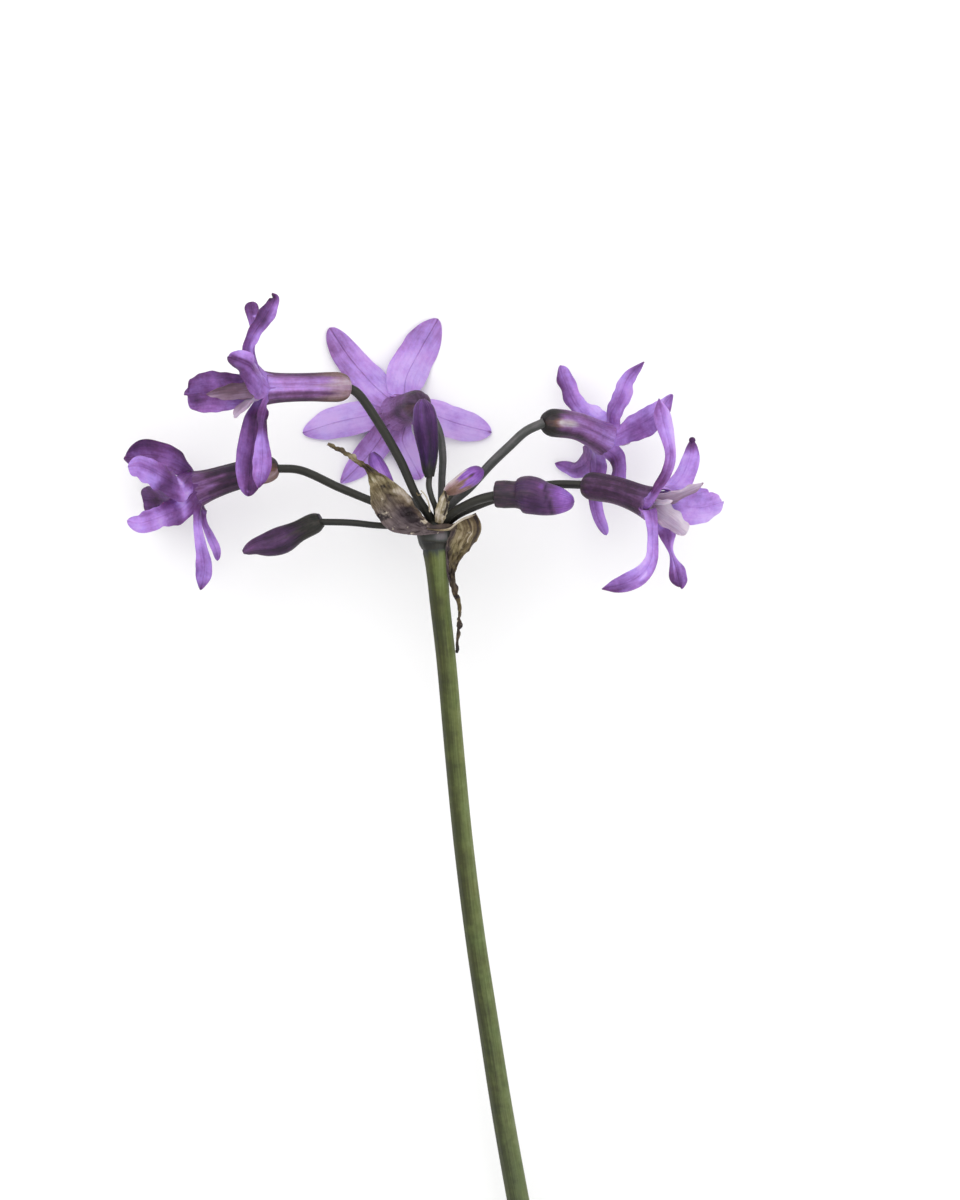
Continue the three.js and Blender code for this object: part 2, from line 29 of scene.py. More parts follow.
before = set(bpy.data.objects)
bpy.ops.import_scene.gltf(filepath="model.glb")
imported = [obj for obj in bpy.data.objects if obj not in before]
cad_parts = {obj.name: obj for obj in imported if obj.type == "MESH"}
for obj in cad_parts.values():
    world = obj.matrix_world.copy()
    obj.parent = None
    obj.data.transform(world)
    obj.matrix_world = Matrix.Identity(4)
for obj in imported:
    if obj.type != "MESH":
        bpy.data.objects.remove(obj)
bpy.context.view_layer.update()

MM = 0.001
HEAD_TO_ROW = np.array([1.7, 60.4, 0.0])
SEED = 7

# The camera looks straight down from CAMERA_HEIGHT above VIEW_LEVEL, where a height of VIEW_HEIGHT shows.
VIEW_CENTRE = (5.375, -9.375)
VIEW_LEVEL = 17.0
VIEW_HEIGHT = 150.0
CAMERA_HEIGHT = 1500.0
SENSOR = 36.0

# All pieces are lifted gently off the floor over this height.
FLOOR_EASE = 0.1

# Where all the flower stalks start.
HEAD = (0, -1.3, 16)

# The stalk: x, y, z and radius from its swollen top to its cut end, and how much stouter it is than that.
SCAPE = [
    (-0.15, -2.4, 16, 1.5), (-0.15, -3.2, 15.97, 1.6), (-0.03, -4.6, 15.9, 1.46), (0.1, -6.4, 15.7, 1.34),
    (0.35, -9.6, 15.4, 1.24), (1.15, -16.9, 14.7, 1.2), (2.15, -28.2, 13.6, 1.2), (3.25, -39.5, 12.4, 1.2),
    (4.65, -50.8, 11.3, 1.22), (6.35, -62.1, 10.2, 1.27), (8.15, -73.5, 9.1, 1.32), (10.15, -84.7, 8, 1.36),
    (13.45, -102, 6.2, 1.42), (18.05, -125, 3.9, 1.48), (23.05, -149, 1.5, 1.5),
]
SCAPE_GIRTH = 1.04

# The swollen dark top that all the flower stalks grow from.
RECEPTACLE = [
    (-0.2, -2.95, 15.98, 1.66), (-0.22, -2.6, 16, 1.84), (-0.24, -2.1, 16, 2.06),
    (-0.2, -1.3, 16.1, 2.3), (-0.15, -0.4, 16.1, 2.2), (-0.15, 0.4, 16.1, 1.5), (-0.15, 0.9, 16.1, 0.5),
]

# The flower stalks of the five blooms, then of the five buds: radius, shade, and points out to each. At its
# root one measures PEDICEL_ROOT times its radius, and further out PEDICEL_GIRTH times.
PEDICEL_ROOT = 1.5
PEDICEL_GIRTH = 1.05
PEDICELS = [
    (0.54, 0.2, [(-0.9, 1, 17), (-2.6, 3.7, 19), (-4.6, 8.1, 21.3), (-7.4, 12.9, 23.5), (-9.9, 16.4, 25.2),
                 (-11.1, 17.1, 25.6)]),
    (0.5, 0.25, [(-2.1, 0.7, 16), (-7.4, 2.7, 15.2), (-12.2, 4.68, 14.3), (-17.2, 6.9, 13.6),
                 (-20.3, 7.1, 13.4)]),
    (0.56, 0.6, [(1.4, 2.2, 16.8), (4.1, 4.7, 17), (6.6, 7.5, 17.1), (9.1, 9.9, 17.4), (11.1, 11.7, 17.5),
                 (13.4, 12.8, 17.4)]),
    (0.5, 0.2, [(1.9, 0.8, 16.6), (5.4, 2.55, 17.4), (9.1, 3.8, 18.2), (14.1, 5, 19.4), (18.4, 5, 21.1)]),
    (0.46, 0.6, [(0.5, 2.3, 15.5), (0.6, 5.6, 15.2), (0.7, 8.8, 15), (0.2, 11.9, 14.8), (-1.2, 14.5, 14.4),
                 (-2.1, 15.1, 13.6)]),
    (0.36, 0.35, [(-0.1, 1.9, 18), (-0.7, 3.6, 19), (-1, 4.9, 19.4), (-0.9, 6.4, 19.5)]),
    (0.56, 0.2, [(1.4, 1.1, 18.2), (3.5, 2.4, 20.2), (5.4, 3.2, 21.4), (7.9, 3.8, 22.1)]),
    (0.4, 0.15, [(-1.5, 0.1, 16.3), (-6.5, -0.1, 16.3), (-10.9, 0.3, 16.2), (-15, 0.4, 15.9)]),
    (0.36, 0.3, [(0.5, 1.6, 18.5), (1.3, 3.1, 19.3), (2.4, 4.6, 19.7)]),
    (0.36, 0.3, [(-1.4, 1.4, 15), (-3.4, 3.2, 12.5), (-5.7, 5.2, 10.3)]),
]

# The blooms. A tube runs from foot to mouth, and girth is how stout it is at each end. Shades go from 0,
# dark, to 1, pale: shade is read along a length, and side offsets are added across it, from the side that is
# lower seen from above to the upper one; they are partly the tube's own streaks and partly painted shade and
# painted highlight for how light falls across the round body. Tones colour the foot the same way, from near
# black to pale.
# Each petal-like lobe (tepal) leaves the mouth at an angle round the tube, 0 towards +Y, and follows its
# path. Widths, turns and shades are evenly spaced from mouth to tip. Turn is its twist in degrees, cup how
# deeply its edges rise, ragged how torn they are, notch how torn its tip is and wave how much it ripples.
# Edges and spots are added to its shade: edges at its two sides, and each spot as place along, place across,
# length, width and strength. Cool turns dark parts towards blue.
UPPER_LEFT = {
    "tube": [(-10.7, 17.1, 25.5), (-16, 17.05, 27), (-21.4, 16.9, 28.5)],
    "girth": (0.98, 0.98), "shade": [0.6, 0.6, 0.62, 0.7], "rib": 0.5,
    "streaks_and_side_shade": [-0.42, -0.36, -0.16, -0.28, 0.1, 0.18, 0, 0.08, -0.06, -0.26, -0.38],
    "foot": 0.3, "foot_strength": 0.8, "tones": [0.42, 0.7, 0.66, 0.72, 0.85, 0.66, 0.5],
    "tepals": [
        {"at": 30, "widths": [2, 0.8, 0.8, 1.4, 1.9], "turn": (0, 40, 60, 65, 65), "cup": 0.25,
         # Its small bright spot near the tip is a painted highlight.
         "shade": [0.45, 0.5, 0.66, 0.66, 0.5, 0.34], "tip": 0.12, "spots": [(0.8, -0.2, 0.012, 0.3, 0.5)],
         "path": [(-22.9, 21.4, 26.8), (-22.6, 24.3, 25.5), (-23.15, 27.7, 24.2)]},
        {"at": -30, "widths": [2, 1.5, 1.6, 1.9, 1.3], "turn": (10, 45, 55, 55, 45),
         "shade": [0.4, 0.45, 0.55, 0.56, 0.4, 0.5, 0.1], "ragged": 0.34, "edges": (0.2, -0.12),
         "path": [(-23.3, 21.4, 31), (-22.4, 23.9, 31.6), (-21.3, 25.5, 31.6), (-20, 28.1, 31),
                  (-20.4, 28.6, 30.8)]},
        {"at": 90, "widths": [2.2, 4.2, 5, 4.9, 3.6], "cup": 0.15, "ragged": 0.07,
         "shade": [0.3, 0.42, 0.48, 0.48, 0.44], "tip": 0.07, "notch": 0.6, "edges": (-0.08, 0.12),
         "spots": [(0.85, 0.35, 0.16, 0.4, -0.16), (0.6, -0.55, 0.2, 0.3, 0.12)],
         "path": [(-24.7, 16.6, 26.2), (-28, 16.5, 24), (-31.1, 16.2, 21.5)]},
        {"at": 150, "widths": [2.2, 3, 3.7, 3.5, 1.9], "turn": (-65, -69, -71, -72, -73), "cup": -0.3,
         # Its dark shade is partly its own violet and partly painted shade, for the side of the fold that
         # faces away from the light; its small pale spot at the tip is a painted highlight.
         "shade": [0.3, 0.27, 0.28, 0.32, 0.36, 0.28], "ragged": 0.08, "edges": (0.26, 0),
         "spots": [(0.55, -0.35, 0.16, 0.3, 0.1), (0.95, -0.1, 0.015, 0.12, 0.5)],
         "path": [(-22.4, 13.6, 27.2), (-22.8, 10.3, 27), (-23.2, 7.2, 26.4), (-23.4, 3.5, 25.8)]},
        {"at": -138, "widths": [2.2, 1.5, 0.9, 1.7, 2.3, 2, 0.9], "turn": (66, 97, 105, 108, 88),
         "shade": [0.4, 0.4, 0.5, 0.74, 0.74, 0.7, 0.5], "edges": (-0.16, 0), "ragged": 0.08, "cup": -0.4,
         "path": [(-21.6, 13.1, 30.4), (-21.6, 10.1, 31), (-21.6, 7.2, 30.6), (-22.1, 4.5, 29.8)]},
        {"at": -90, "widths": [2.3, 3.9, 3.8, 3, 2], "cup": 0.35, "ragged": 0.12,
         "shade": [0.78, 0.72, 0.68, 0.62, 0.56, 0.52, 0.5, 0.4], "edges": (-0.12, 0.06), "wave": 0.25,
         "notch": 1.1, "tip": 0.06,
         # Its spots are a painted highlight along the top of its roll and painted shade in the fold beneath
         # it.
         "spots": [(0.86, 0.75, 0.22, 0.45, 0.24), (0.8, 0.12, 0.22, 0.12, -0.36)],
         "path": [(-22, 17.9, 34), (-23.4, 19.7, 36), (-25.5, 20.6, 35)]},
    ],
    "corona": [((-28.4, 16.1, 26.8), 0.32, 0.95, 0.5), ((-25.1, 13.4, 27.6), 0.66, 0.95, 1.7),
               ((-23.8, 18.6, 29.2), 0.44, 0.8, 1)],
}

LOWER_LEFT = {
    "tube": [(-19.9, 7.3, 13.5), (-25, 6.2, 12.4), (-30.1, 4.6, 11.5)],
    "girth": (0.88, 1.05), "shade": [0.1, 0.04, 0.1, 0.36], "rib": 0.4,
    "streaks_and_side_shade": [-0.06, 0.1, -0.05, 0.1, 0.02, 0.14, -0.05, 0.06, -0.04],
    "foot": 0.24, "foot_strength": 0.9, "tones": [0.5, 0.72, 0.5, 0.4, 0.25, 0.2],
    "spots": [(0.8, -0.1, 0.1, 0.12, 0.3), (0.7, 0.35, 0.12, 0.1, 0.2)],
    "tepals": [
        {"at": 23, "widths": [2.6, 3.1, 3.6, 3.9, 1.8], "turn": (20, 60, 65, 60, 60),
         "shade": [0.4, 0.48, 0.5, 0.46, 0.42], "edges": (-0.16, 0), "wave": 0.2, "notch": 0.5,
         "path": [(-31, 7.1, 11), (-33.4, 8.3, 9.8), (-36.2, 8.9, 8.4), (-39.3, 8.5, 7.2)]},
        {"at": -45, "widths": [2.6, 3.7, 3.3, 3.3, 2.5], "turn": (0, -20, -30, -30, -20), "cup": 0.2,
         "shade": [0.42, 0.46, 0.48, 0.46, 0.4, 0.66, 0.76, 0.72, 0.78], "ragged": 0.3, "wave": 0.3,
         # Its first two spots are painted highlights where it bends out of the tube; the third is painted
         # shade in its middle crease.
         "notch": 0.6, "tip": 0.07, "spots": [(0.24, 0.2, 0.06, 0.6, 0.5), (0.2, -0.8, 0.08, 0.4, 0.5),
                                              (0.75, 0.1, 0.12, 0.25, -0.14)],
         "path": [(-32.2, 4.9, 15.2), (-34.1, 5.8, 17.4), (-35.8, 6.8, 19), (-37.3, 7.3, 19.6),
                  (-38.5, 7.2, 19.4)]},
        {"at": 83, "widths": [2.4, 3.6, 4.2, 4.3, 3.2], "cup": 0.5,
         # Its low shade and dark centre are partly its own deep violet and partly painted shade, where it
         # lies curled under the tepals beside it.
         "shade": [0.3, 0.4, 0.4, 0.34, 0.4], "spots": [(0.8, 0, 0.1, 0.35, -0.15)],
         "path": [(-33.1, 3.3, 6.2), (-35, 3.2, 2.8), (-37.2, 3.3, 0.5)]},
        {"at": -105, "widths": [2.8, 3.6, 2.8, 2.7, 1.6], "turn": (0, 20), "cup": 0.2, "ragged": 0.16,
         "shade": [0.4, 0.42, 0.46, 0.5, 0.62, 0.84, 0.74, 0.84, 0.8], "edges": (0, -0.12),
         # Its two spots are painted highlights where it bends out of the tube.
         "wave": 0.25, "spots": [(0.2, 0.5, 0.08, 0.7, 0.5), (0.24, -0.5, 0.05, 0.5, 0.3)],
         "path": [(-32, 2.2, 14.2), (-33.9, 1.3, 16.2), (-35.6, 0.6, 18), (-37.2, 0.2, 18.4),
                  (-38.7, 0.5, 18.2)]},
        {"at": -160, "widths": [2.2, 1.1, 1.3, 1.7, 2.1, 0.9], "turn": (25, 50, 60, 65, 65), "cup": 0.25,
         "shade": [0.3, 0.5, 0.84, 0.84, 0.8, 0.74, 0.66, 0.46], "ragged": 0.12,
         "path": [(-30, 0.4, 13.2), (-29.6, -2.4, 13.2), (-29.2, -5.4, 12.4), (-29.7, -8.1, 11.5)]},
        {"at": 143, "widths": [2, 0.8, 0.9, 1.15, 0.9], "turn": (-70, -95, -100, -100, -90),
         "cup": -0.25, "shade": [0.3, 0.5, 0.72, 0.76, 0.6],
         "path": [(-29.3, 0.5, 8.8), (-28.5, -1.5, 7.2), (-27.8, -3.2, 6), (-27.7, -4.4, 5.4)]},
    ],
    "corona_reach": 2.6, "corona_shade": 0.3,
}

UPPER_RIGHT = {
    "tube": [(13.3, 12.9, 17.4), (17.5, 12.4, 14.2), (20.9, 10.9, 10.7)],
    "girth": (0.92, 1), "shade": [0.38, 0.5, 0.57, 0.7], "rib": 0.7,
    "streaks_and_side_shade": [-0.12, -0.3, -0.2, 0, 0.1, 0, 0.12, 0, -0.08, 0],
    "foot": 0.2, "foot_strength": 0.95, "tones": [0.05, 0.1, 0.3, 0.25, 0.1, 0.05],
    "stains": [(0.27, 0.05, 0.13, 0.27, 0.8)],
    "tepals": [
        {"at": -40, "widths": [2.6, 3.6, 3.4, 2.3, 2.2, 2.1, 1.6], "turn": (0, 15),
         "shade": [0.6, 0.72, 0.78, 0.62, 0.6, 0.64], "edges": (-0.2, 0.15), "wave": 0.24, "ragged": 0.26,
         "path": [(19.3, 13.4, 6.8), (17.6, 15.1, 5.4), (16.5, 17.2, 4.5), (15.5, 20.2, 3.6)]},
        {"at": 20, "widths": [2.7, 2.3, 2.4, 1.6, 0.5], "turn": (0, 20, 25, 25, 20), "cup": 0.25,
         "shade": [0.5, 0.6, 0.76, 0.66, 0.45], "edges": (0.05, 0.12), "ragged": 0.12,
         "path": [(21.9, 13.8, 11.3), (23.05, 16.15, 12.4), (24, 18.5, 13.4), (25.95, 20.45, 14)]},
        {"at": 80, "widths": [2.6, 3.4, 3.5, 2.6, 0.9], "turn": (0, 15, 20, 25, 25), "cup": 0.2,
         "shade": [0.7, 0.58, 0.6, 0.68, 0.62], "edges": (0.12, 0), "ragged": 0.1,
         "path": [(24.4, 12.15, 12.8), (26.6, 13.25, 14.6), (28.1, 14.5, 16), (29.4, 16.3, 17.3)]},
        {"at": 140, "widths": [2.4, 2.1, 1.9, 1.8, 1.3], "turn": (0, -10, -20, -20, -15),
         "shade": [0.5, 0.44, 0.5, 0.6, 0.55], "edges": (0.1, -0.22),
         "path": [(22.5, 8.4, 12.5), (22.7, 6.2, 13.8), (22.5, 3.6, 14.6)]},
        {"at": -160, "widths": [2.4, 2.3, 1.8, 1.6, 1.3], "turn": (0, -25, -35, -35, -30),
         "shade": [0.5, 0.5, 0.55, 0.7, 0.66], "edges": (0.1, -0.12),
         "path": [(20.1, 6.6, 8.5), (19.8, 3.6, 8.3), (20.2, 1.2, 8.4), (21.3, -1.2, 8.5)]},
        {"at": -100, "widths": [2.4, 3.2, 3, 2, 1.1], "turn": (-10, -45, -30, -5, -5),
         "shade": [0.5, 0.52, 0.5, 0.56, 0.5], "edges": (0.16, -0.1), "ragged": 0.2,
         "path": [(18.9, 8, 5.2), (17.2, 7.1, 2.2), (16.2, 7.45, 1), (14.9, 7.9, 0.5)]},
    ],
    "corona_reach": 3.2,
}

LOWER_RIGHT = {
    "tube": [(18.1, 5, 21), (22.4, 4.25, 22.8), (26.55, 2.65, 24.4)],
    "girth": (0.92, 1), "shade": [0.12, 0.18, 0.16, 0.22], "rib": 0.4,
    "streaks_and_side_shade": [0.06, -0.02, 0.04, 0, 0.1, -0.02, 0.08, -0.04, 0.04],
    # The spot paints the mouth rim paler where the gap between two tepals lies in shade: painted light. The
    # paler root shade of all its tepals is partly their own pale bases and partly painted light in the shaded
    # mouth.
    "spots": [(1, -0.4, 0.05, 0.35, 0.35)],
    "foot": 0.12, "foot_strength": 0.5, "tones": [0.3, 0.3, 0.2, 0.2], "common": {"root_shade": 0.6},
    "tepals": [
        {"at": 75, "widths": [1.9, 1.1, 1.2, 1.3, 1.3, 1.5, 2, 2, 0.4], "cup": 0.4, "tip": 0.06,
         "turn": (15, 65, 71, 67, 113, 167, 181, 185, 188, 192, 192), "edges": (-0.12, 0.16),
         "shade": [0.6, 0.5, 0.45, 0.6, 0.72, 0.78, 0.74, 0.6],
         "path": [(26.5, 3.1, 27.3), (27.2, 4.3, 28.1), (28.4, 6.2, 28.6), (29, 8.4, 28.7),
                  (28.7, 10.6, 28.4), (28.1, 13, 27.8), (27.6, 15.6, 27)]},
        {"at": -10, "widths": [1.8, 2.9, 3.1, 2.7, 2.2, 1], "turn": (25, 70, 85, 90, 90), "root_shade": 0.8,
         "shade": [0.8, 0.84, 0.8, 0.76, 0.8, 0.8, 0.78, 0.8, 0.86, 0.45, 0.3], "knob": 0.42, "tip": 0.1,
         "path": [(29.3, 4.6, 21.4), (30.7, 6.1, 20), (31.6, 8.4, 18.4), (31.9, 10.6, 17)]},
        {"at": -70, "widths": [2.2, 3, 3.2, 3, 2.2], "turn": (0, -10), "cup": 0.15,
         "shade": [0.6, 0.74, 0.82, 0.82, 0.8], "ragged": 0.14, "notch": 0.5, "tip": 0.08,
         "path": [(29.3, 3.4, 19.4), (31.5, 3.5, 16.8), (33.6, 3.4, 14.8)]},
        {"at": -100, "widths": [2.4, 3.9, 4.4, 3.9, 2.4], "cup": 0.12, "ragged": 0.1,
         "shade": [0.6, 0.72, 0.82, 0.84, 0.9], "edges": (0.08, -0.06), "wave": 0.24, "notch": 0.6,
         "tip": 0.08, "path": [(29.7, 2.4, 22), (32.8, 2.2, 19.5), (35.6, 2.9, 17.2)]},
        {"at": -150, "widths": [2, 2.3, 2.3, 2.1, 1.2, 0.6, 1.1, 2, 2.1, 1.2], "cup": 0.2,
         "turn": (30, 47, 50, 50, 50, 30, 50, 54, 54, 54), "ragged": 0.12, "notch": 0.5, "tip": 0.1,
         "shade": [0.75, 0.74, 0.5, 0.76, 0.6, 0.5, 0.4], "edges": (-0.1, 0.16),
         "spots": [(0.75, -0.3, 0.14, 0.1, 0.4)],
         "path": [(28.4, -0.4, 22.6), (28.8, -1.9, 22.3), (29.1, -3.2, 22.1), (29.8, -5.4, 21.6),
                  (30.4, -7.8, 20.6)]},
        {"at": 140, "widths": [2.1, 2, 1.6, 1.3, 1.35, 1.5, 1.9, 2.3, 2.2, 1.6, 0.6],
         "turn": (40, 120, 95, 92, 86, 76, 61, 53, 51, 50, 50), "edges": (0.1, -0.08),
         "shade": [0.6, 0.58, 0.7, 0.82, 0.82, 0.74, 0.56, 0.45],
         # Its two small bright spots are painted highlights.
         "spots": [(0.66, 0.4, 0.03, 0.12, 0.4), (0.5, 0.3, 0.02, 0.1, 0.3)],
         "path": [(26.4, 1.6, 27.4), (26.75, -0.2, 28.2), (26.8, -2.5, 28.8), (26.6, -4.4, 28.9),
                  (25.6, -6, 28.8), (23.6, -7.2, 28.4), (20.5, -8, 27.5)]},
    ],
    "corona": [((33, 5.1, 23.6), 0.66, 1.1, 0.7), ((29.2, 2.9, 27.6), 0.95, 0.42, 1.6),
               ((31, -1.1, 24.4), 0.82, 1.7, 1.3)],
}

MIDDLE = {
    "tube": [(-2.1, 15.2, 14), (-3.6, 14.9, 8.5), (-5, 14.3, 3.2)],
    "girth": (0.95, 1.05), "shade": [0.3, 0.24, 0.34, 0.52], "rib": 0.3,
    "streaks_and_side_shade": [0, 0.1, -0.06, 0.1, 0], "foot": 0.16, "foot_strength": 0.5,
    "tones": [0.2, 0.4, 0.2, 0.1], "common": {"cup": 0.08, "wave": 0.1, "rib": 1, "cool": 0.3},
    "spots": [(0.45, -0.3, 0.12, 0.3, -0.16), (0.7, 0.3, 0.1, 0.25, 0.12)],
    "tepals": [
        {"at": 25, "widths": [3.6, 5.1, 4.9, 4.2, 1.9], "shade": [0.84, 0.96, 0.94, 0.84, 0.78, 0.74],
         "edges": (-0.1, 0), "root_shade": 0.78,
         "path": [(-4.1, 18.4, 1.8), (-2.3, 22.1, 0.6), (0.05, 26.15, 0.28)]},
        {"at": -35, "widths": [2.8, 4.6, 4.1, 3.5, 2], "shade": [0.8, 0.9, 0.84, 0.72, 0.66, 0.68],
         "edges": (-0.12, 0.06), "root_shade": 0.7,
         "path": [(-8, 17.6, 1.8), (-11.2, 21.3, 0.6), (-13.65, 25, 0.28)]},
        {"at": -95, "widths": [2.4, 3.8, 4.2, 3.6, 1.6], "shade": [0.66, 0.86, 0.98, 1, 0.98, 0.84],
         "edges": (-0.1, 0), "path": [(-8.8, 13.9, 1.8), (-12.9, 13.05, 0.6), (-17, 11.75, 0.28)]},
        {"at": -140, "widths": [2.4, 3.4, 3.6, 2.8, 1], "shade": [0.45, 0.66, 0.78, 0.84, 0.78],
         "edges": (0.06, -0.1), "path": [(-7.3, 10.8, 1.8), (-9.4, 8.2, 0.6), (-12.2, 5.4, 0.28)]},
        {"at": 160, "widths": [2.4, 3.3, 3.5, 3.2, 1.9], "shade": [0.56, 0.84, 0.96, 0.9, 0.78],
         "edges": (0.05, -0.1), "path": [(-4.5, 10.8, 1.8), (-3.3, 8.2, 0.6), (-2.1, 5.9, 0.28)]},
        {"at": 95, "widths": [2.6, 4, 4.1, 3.7, 1.9], "shade": [0.66, 0.84, 0.94, 0.9, 0.92, 0.84],
         "spots": [(0.55, -0.4, 0.05, 0.2, -0.12), (0.98, 0, 0.03, 0.3, -0.2)], "edges": (0, 0.06),
         "path": [(-1.4, 14.2, 1.8), (2.4, 12.95, 0.6), (6.8, 11.8, 0.28)]},
    ],
    "corona_reach": 1.9,
}

FLOWERS = [UPPER_LEFT, LOWER_LEFT, UPPER_RIGHT, LOWER_RIGHT, MIDDLE]

# The buds: x, y, z and radius from foot to tip, with shade, side offsets, foot, stains and spots as above.
BUDS = {
    "bud_1": {
        "points": [(-0.9, 6, 19.5, 0.6), (-1, 6.8, 19.6, 0.85), (-1.05, 9, 19.8, 1.25), (-1.4, 12, 20, 1.6),
                   (-1.55, 13.8, 20, 1.5), (-1.75, 15, 20, 1.1), (-1.85, 15.7, 20, 0.35)],
        "shade": [0.04, 0.08, 0.1, 0.18, 0.32, 0.38], "streaks_and_side_shade": [0.1, 0.02, 0.12, -0.04, 0.06, -0.08],
        "foot": 0.16, "tones": [0.05, 0.1], "cool": 1,
    },
    "bud_2": {
        "points": [(7.05, 3.8, 22, 0.9), (7.25, 3.8, 22, 1.5), (8.2, 3.8, 22.2, 1.78),
                   (10.1, 3.75, 22.5, 1.8), (10.8, 3.8, 22.7, 2.32), (11.8, 3.65, 22.8, 2.44),
                   (13.4, 3.2, 23, 2.15), (15.1, 3, 23.3, 1.8), (16.3, 2.9, 23.4, 1.25),
                   (16.9, 2.9, 23.45, 0.7), (17.1, 2.9, 23.5, 0.15)],
        "shade": [0.06, 0.08, 0.1, 0.24, 0.22, 0.36, 0.6, 0.58], "streaks_and_side_shade": [-0.04, 0, 0, 0.1, 0.04],
        "foot": 0.36, "foot_strength": 0.4, "tones": [0.25, 0.3], "cool": 0.4,
        "spots": [(0.64, 0.65, 0.02, 0.3, -0.2), (0.69, 0.2, 0.02, 0.3, -0.2),
                  (0.74, -0.3, 0.02, 0.35, -0.24), (0.76, -0.85, 0.02, 0.3, -0.24),
                  (0.58, 0.6, 0.05, 0.35, 0.24)],
    },
    "bud_3": {
        "points": [(-14.5, 0.6, 16, 0.9), (-15.2, 0.3, 15.8, 1.3), (-17.4, -0.8, 15.3, 1.4),
                   (-19.4, -1.85, 14.9, 1.8), (-21, -2.35, 14.7, 1.62), (-22.8, -2.7, 14.4, 1.05),
                   (-23.8, -3.15, 14.25, 0.65), (-24.3, -3.4, 14.2, 0.25)],
        "shade": [0.02, 0.06, 0.15, 0.18, 0.25, 0.3], "streaks_and_side_shade": [-0.05, -0.08, 0.06, 0.08, 0, 0.04],
        "foot": 0.3, "tones": [0.05, 0.12, 0.05],
    },
    "bud_4": {
        "points": [(1.1, 4, 19.5, 0.5), (1.7, 4.4, 19.6, 0.85), (2.6, 4.9, 19.8, 1.05), (4, 5.8, 20.2, 1.22),
                   (5, 6.45, 20.4, 1.05), (5.6, 6.75, 20.5, 0.6), (5.8, 6.85, 20.5, 0.2)],
        "shade": [0.6, 0.62, 0.7, 0.74, 0.5], "streaks_and_side_shade": [0.08, 0, -0.1],
        "foot": 0.54, "foot_soft": 0.3, "tones": [0.6, 0.54, 0.92], "cool": 0.6,
        "spots": [(0.74, 0.1, 0.07, 0.1, -0.8)],
    },
    "bud_5": {
        "points": [(-5.9, 4.8, 10.5, 0.7), (-6.5, 5.7, 10.2, 0.95), (-7.3, 7.1, 9.6, 1.1),
                   (-7.9, 8.4, 9.3, 0.85), (-8.2, 9.1, 9.2, 0.4)],
        "shade": [0.66, 0.7, 0.64, 0.46], "streaks_and_side_shade": [-0.1, 0.2, -0.1], "cool": 0.7,
    },
}

# Radians that the waves of a crumpled surface turn along it, and across half of it.
WAVES_ALONG = (4, 22)
WAVES_ACROSS = (-3.5, 3.5)

rng = np.random.default_rng(SEED)


# Lines and frames

class Line:
    """A smooth line through points, with any further numbers of each point carried along it."""

    def __init__(self, points, per_span=24):
        p = np.array(points, float)
        p = np.vstack([2 * p[0] - p[1], p, 2 * p[-1] - p[-2]])
        steps = np.maximum(np.linalg.norm(np.diff(p[:, :3], axis=0), axis=1), 1e-6) ** 0.5
        samples = [p[1]]
        for i in range(1, len(p) - 2):
            d0, d1, d2 = steps[i - 1:i + 2]
            a, b, c, d = p[i - 1:i + 3]
            t1 = d1 * ((b - a) / d0 - (c - a) / (d0 + d1) + (c - b) / d1)
            t2 = d1 * ((c - b) / d1 - (d - b) / (d1 + d2) + (d - c) / d2)
            t = np.linspace(0, 1, per_span + 1)[1:, None]
            samples.extend(b + t1 * t + (3 * (c - b) - 2 * t1 - t2) * t**2 + (t1 + t2 - 2 * (c - b)) * t**3)
        self.samples = np.array(samples)
        lengths = np.linalg.norm(np.diff(self.samples[:, :3], axis=0), axis=1)
        self.distance = np.concatenate([[0], np.cumsum(lengths)])
        self.length = self.distance[-1]

    def at(self, shares):
        where = np.asarray(shares, float) * self.length
        columns = [np.interp(where, self.distance, self.samples[:, k]) for k in range(self.samples.shape[1])]
        return np.stack(columns, axis=-1)

    def tangents(self, shares):
        s = np.asarray(shares, float)
        ahead = self.at(np.minimum(s + 0.01, 1))[:, :3] - self.at(np.maximum(s - 0.01, 0))[:, :3]
        return ahead / np.linalg.norm(ahead, axis=1, keepdims=True)


def unit(v):
    v = np.asarray(v, float)
    return v / np.linalg.norm(v, axis=-1, keepdims=True)


def flattened(v, normal):
    """v with its part along normal taken out, as a unit vector."""
    v = np.asarray(v, float)
    return unit(v - np.sum(v * normal, axis=-1, keepdims=True) * normal)


def spread(values, shares):
    """Values evenly spaced along a length, read smoothly at shares of it."""
    y = np.array(values, float)
    x = np.clip(shares, 0, 1) * (len(y) - 1)
    i = np.minimum(x.astype(int), len(y) - 2)
    t = x - i
    y0, y1, y2, y3 = y[np.maximum(i - 1, 0)], y[i], y[i + 1], y[np.minimum(i + 2, len(y) - 1)]
    v0, v1 = (y2 - y0) / 2, (y3 - y1) / 2
    return (2 * y1 - 2 * y2 + v0 + v1) * t**3 + (3 * y2 - 3 * y1 - 2 * v0 - v1) * t**2 + v0 * t + y1


def smooth(x, low, high):
    t = np.clip((np.asarray(x, float) - low) / (high - low), 0, 1)
    return t * t * (3 - 2 * t)


def ripple(s, u, waves):
    """A gentle crumple over a surface: a few sine waves with drawn directions and phases."""
    total = np.zeros(np.broadcast(s, u).shape)
    for _ in range(waves):
        a, b, phase = rng.uniform(*WAVES_ALONG), rng.uniform(*WAVES_ACROSS), rng.uniform(0, 2 * math.pi)
        total = total + np.sin(a * s + b * u + phase) / waves
    return total


def marks(spots, s, v):
    """Soft spots added up: each has its place, its size and how strong it is."""
    total = 0 * s * v
    for s0, v0, length, width, strength in spots:
        total = total + strength * np.exp(-((s - s0) / length)**2 - ((v - v0) / width)**2)
    return total


# Which way counts as up, seen from above.
UPPER_SIDE = (0.35, 1, 0)


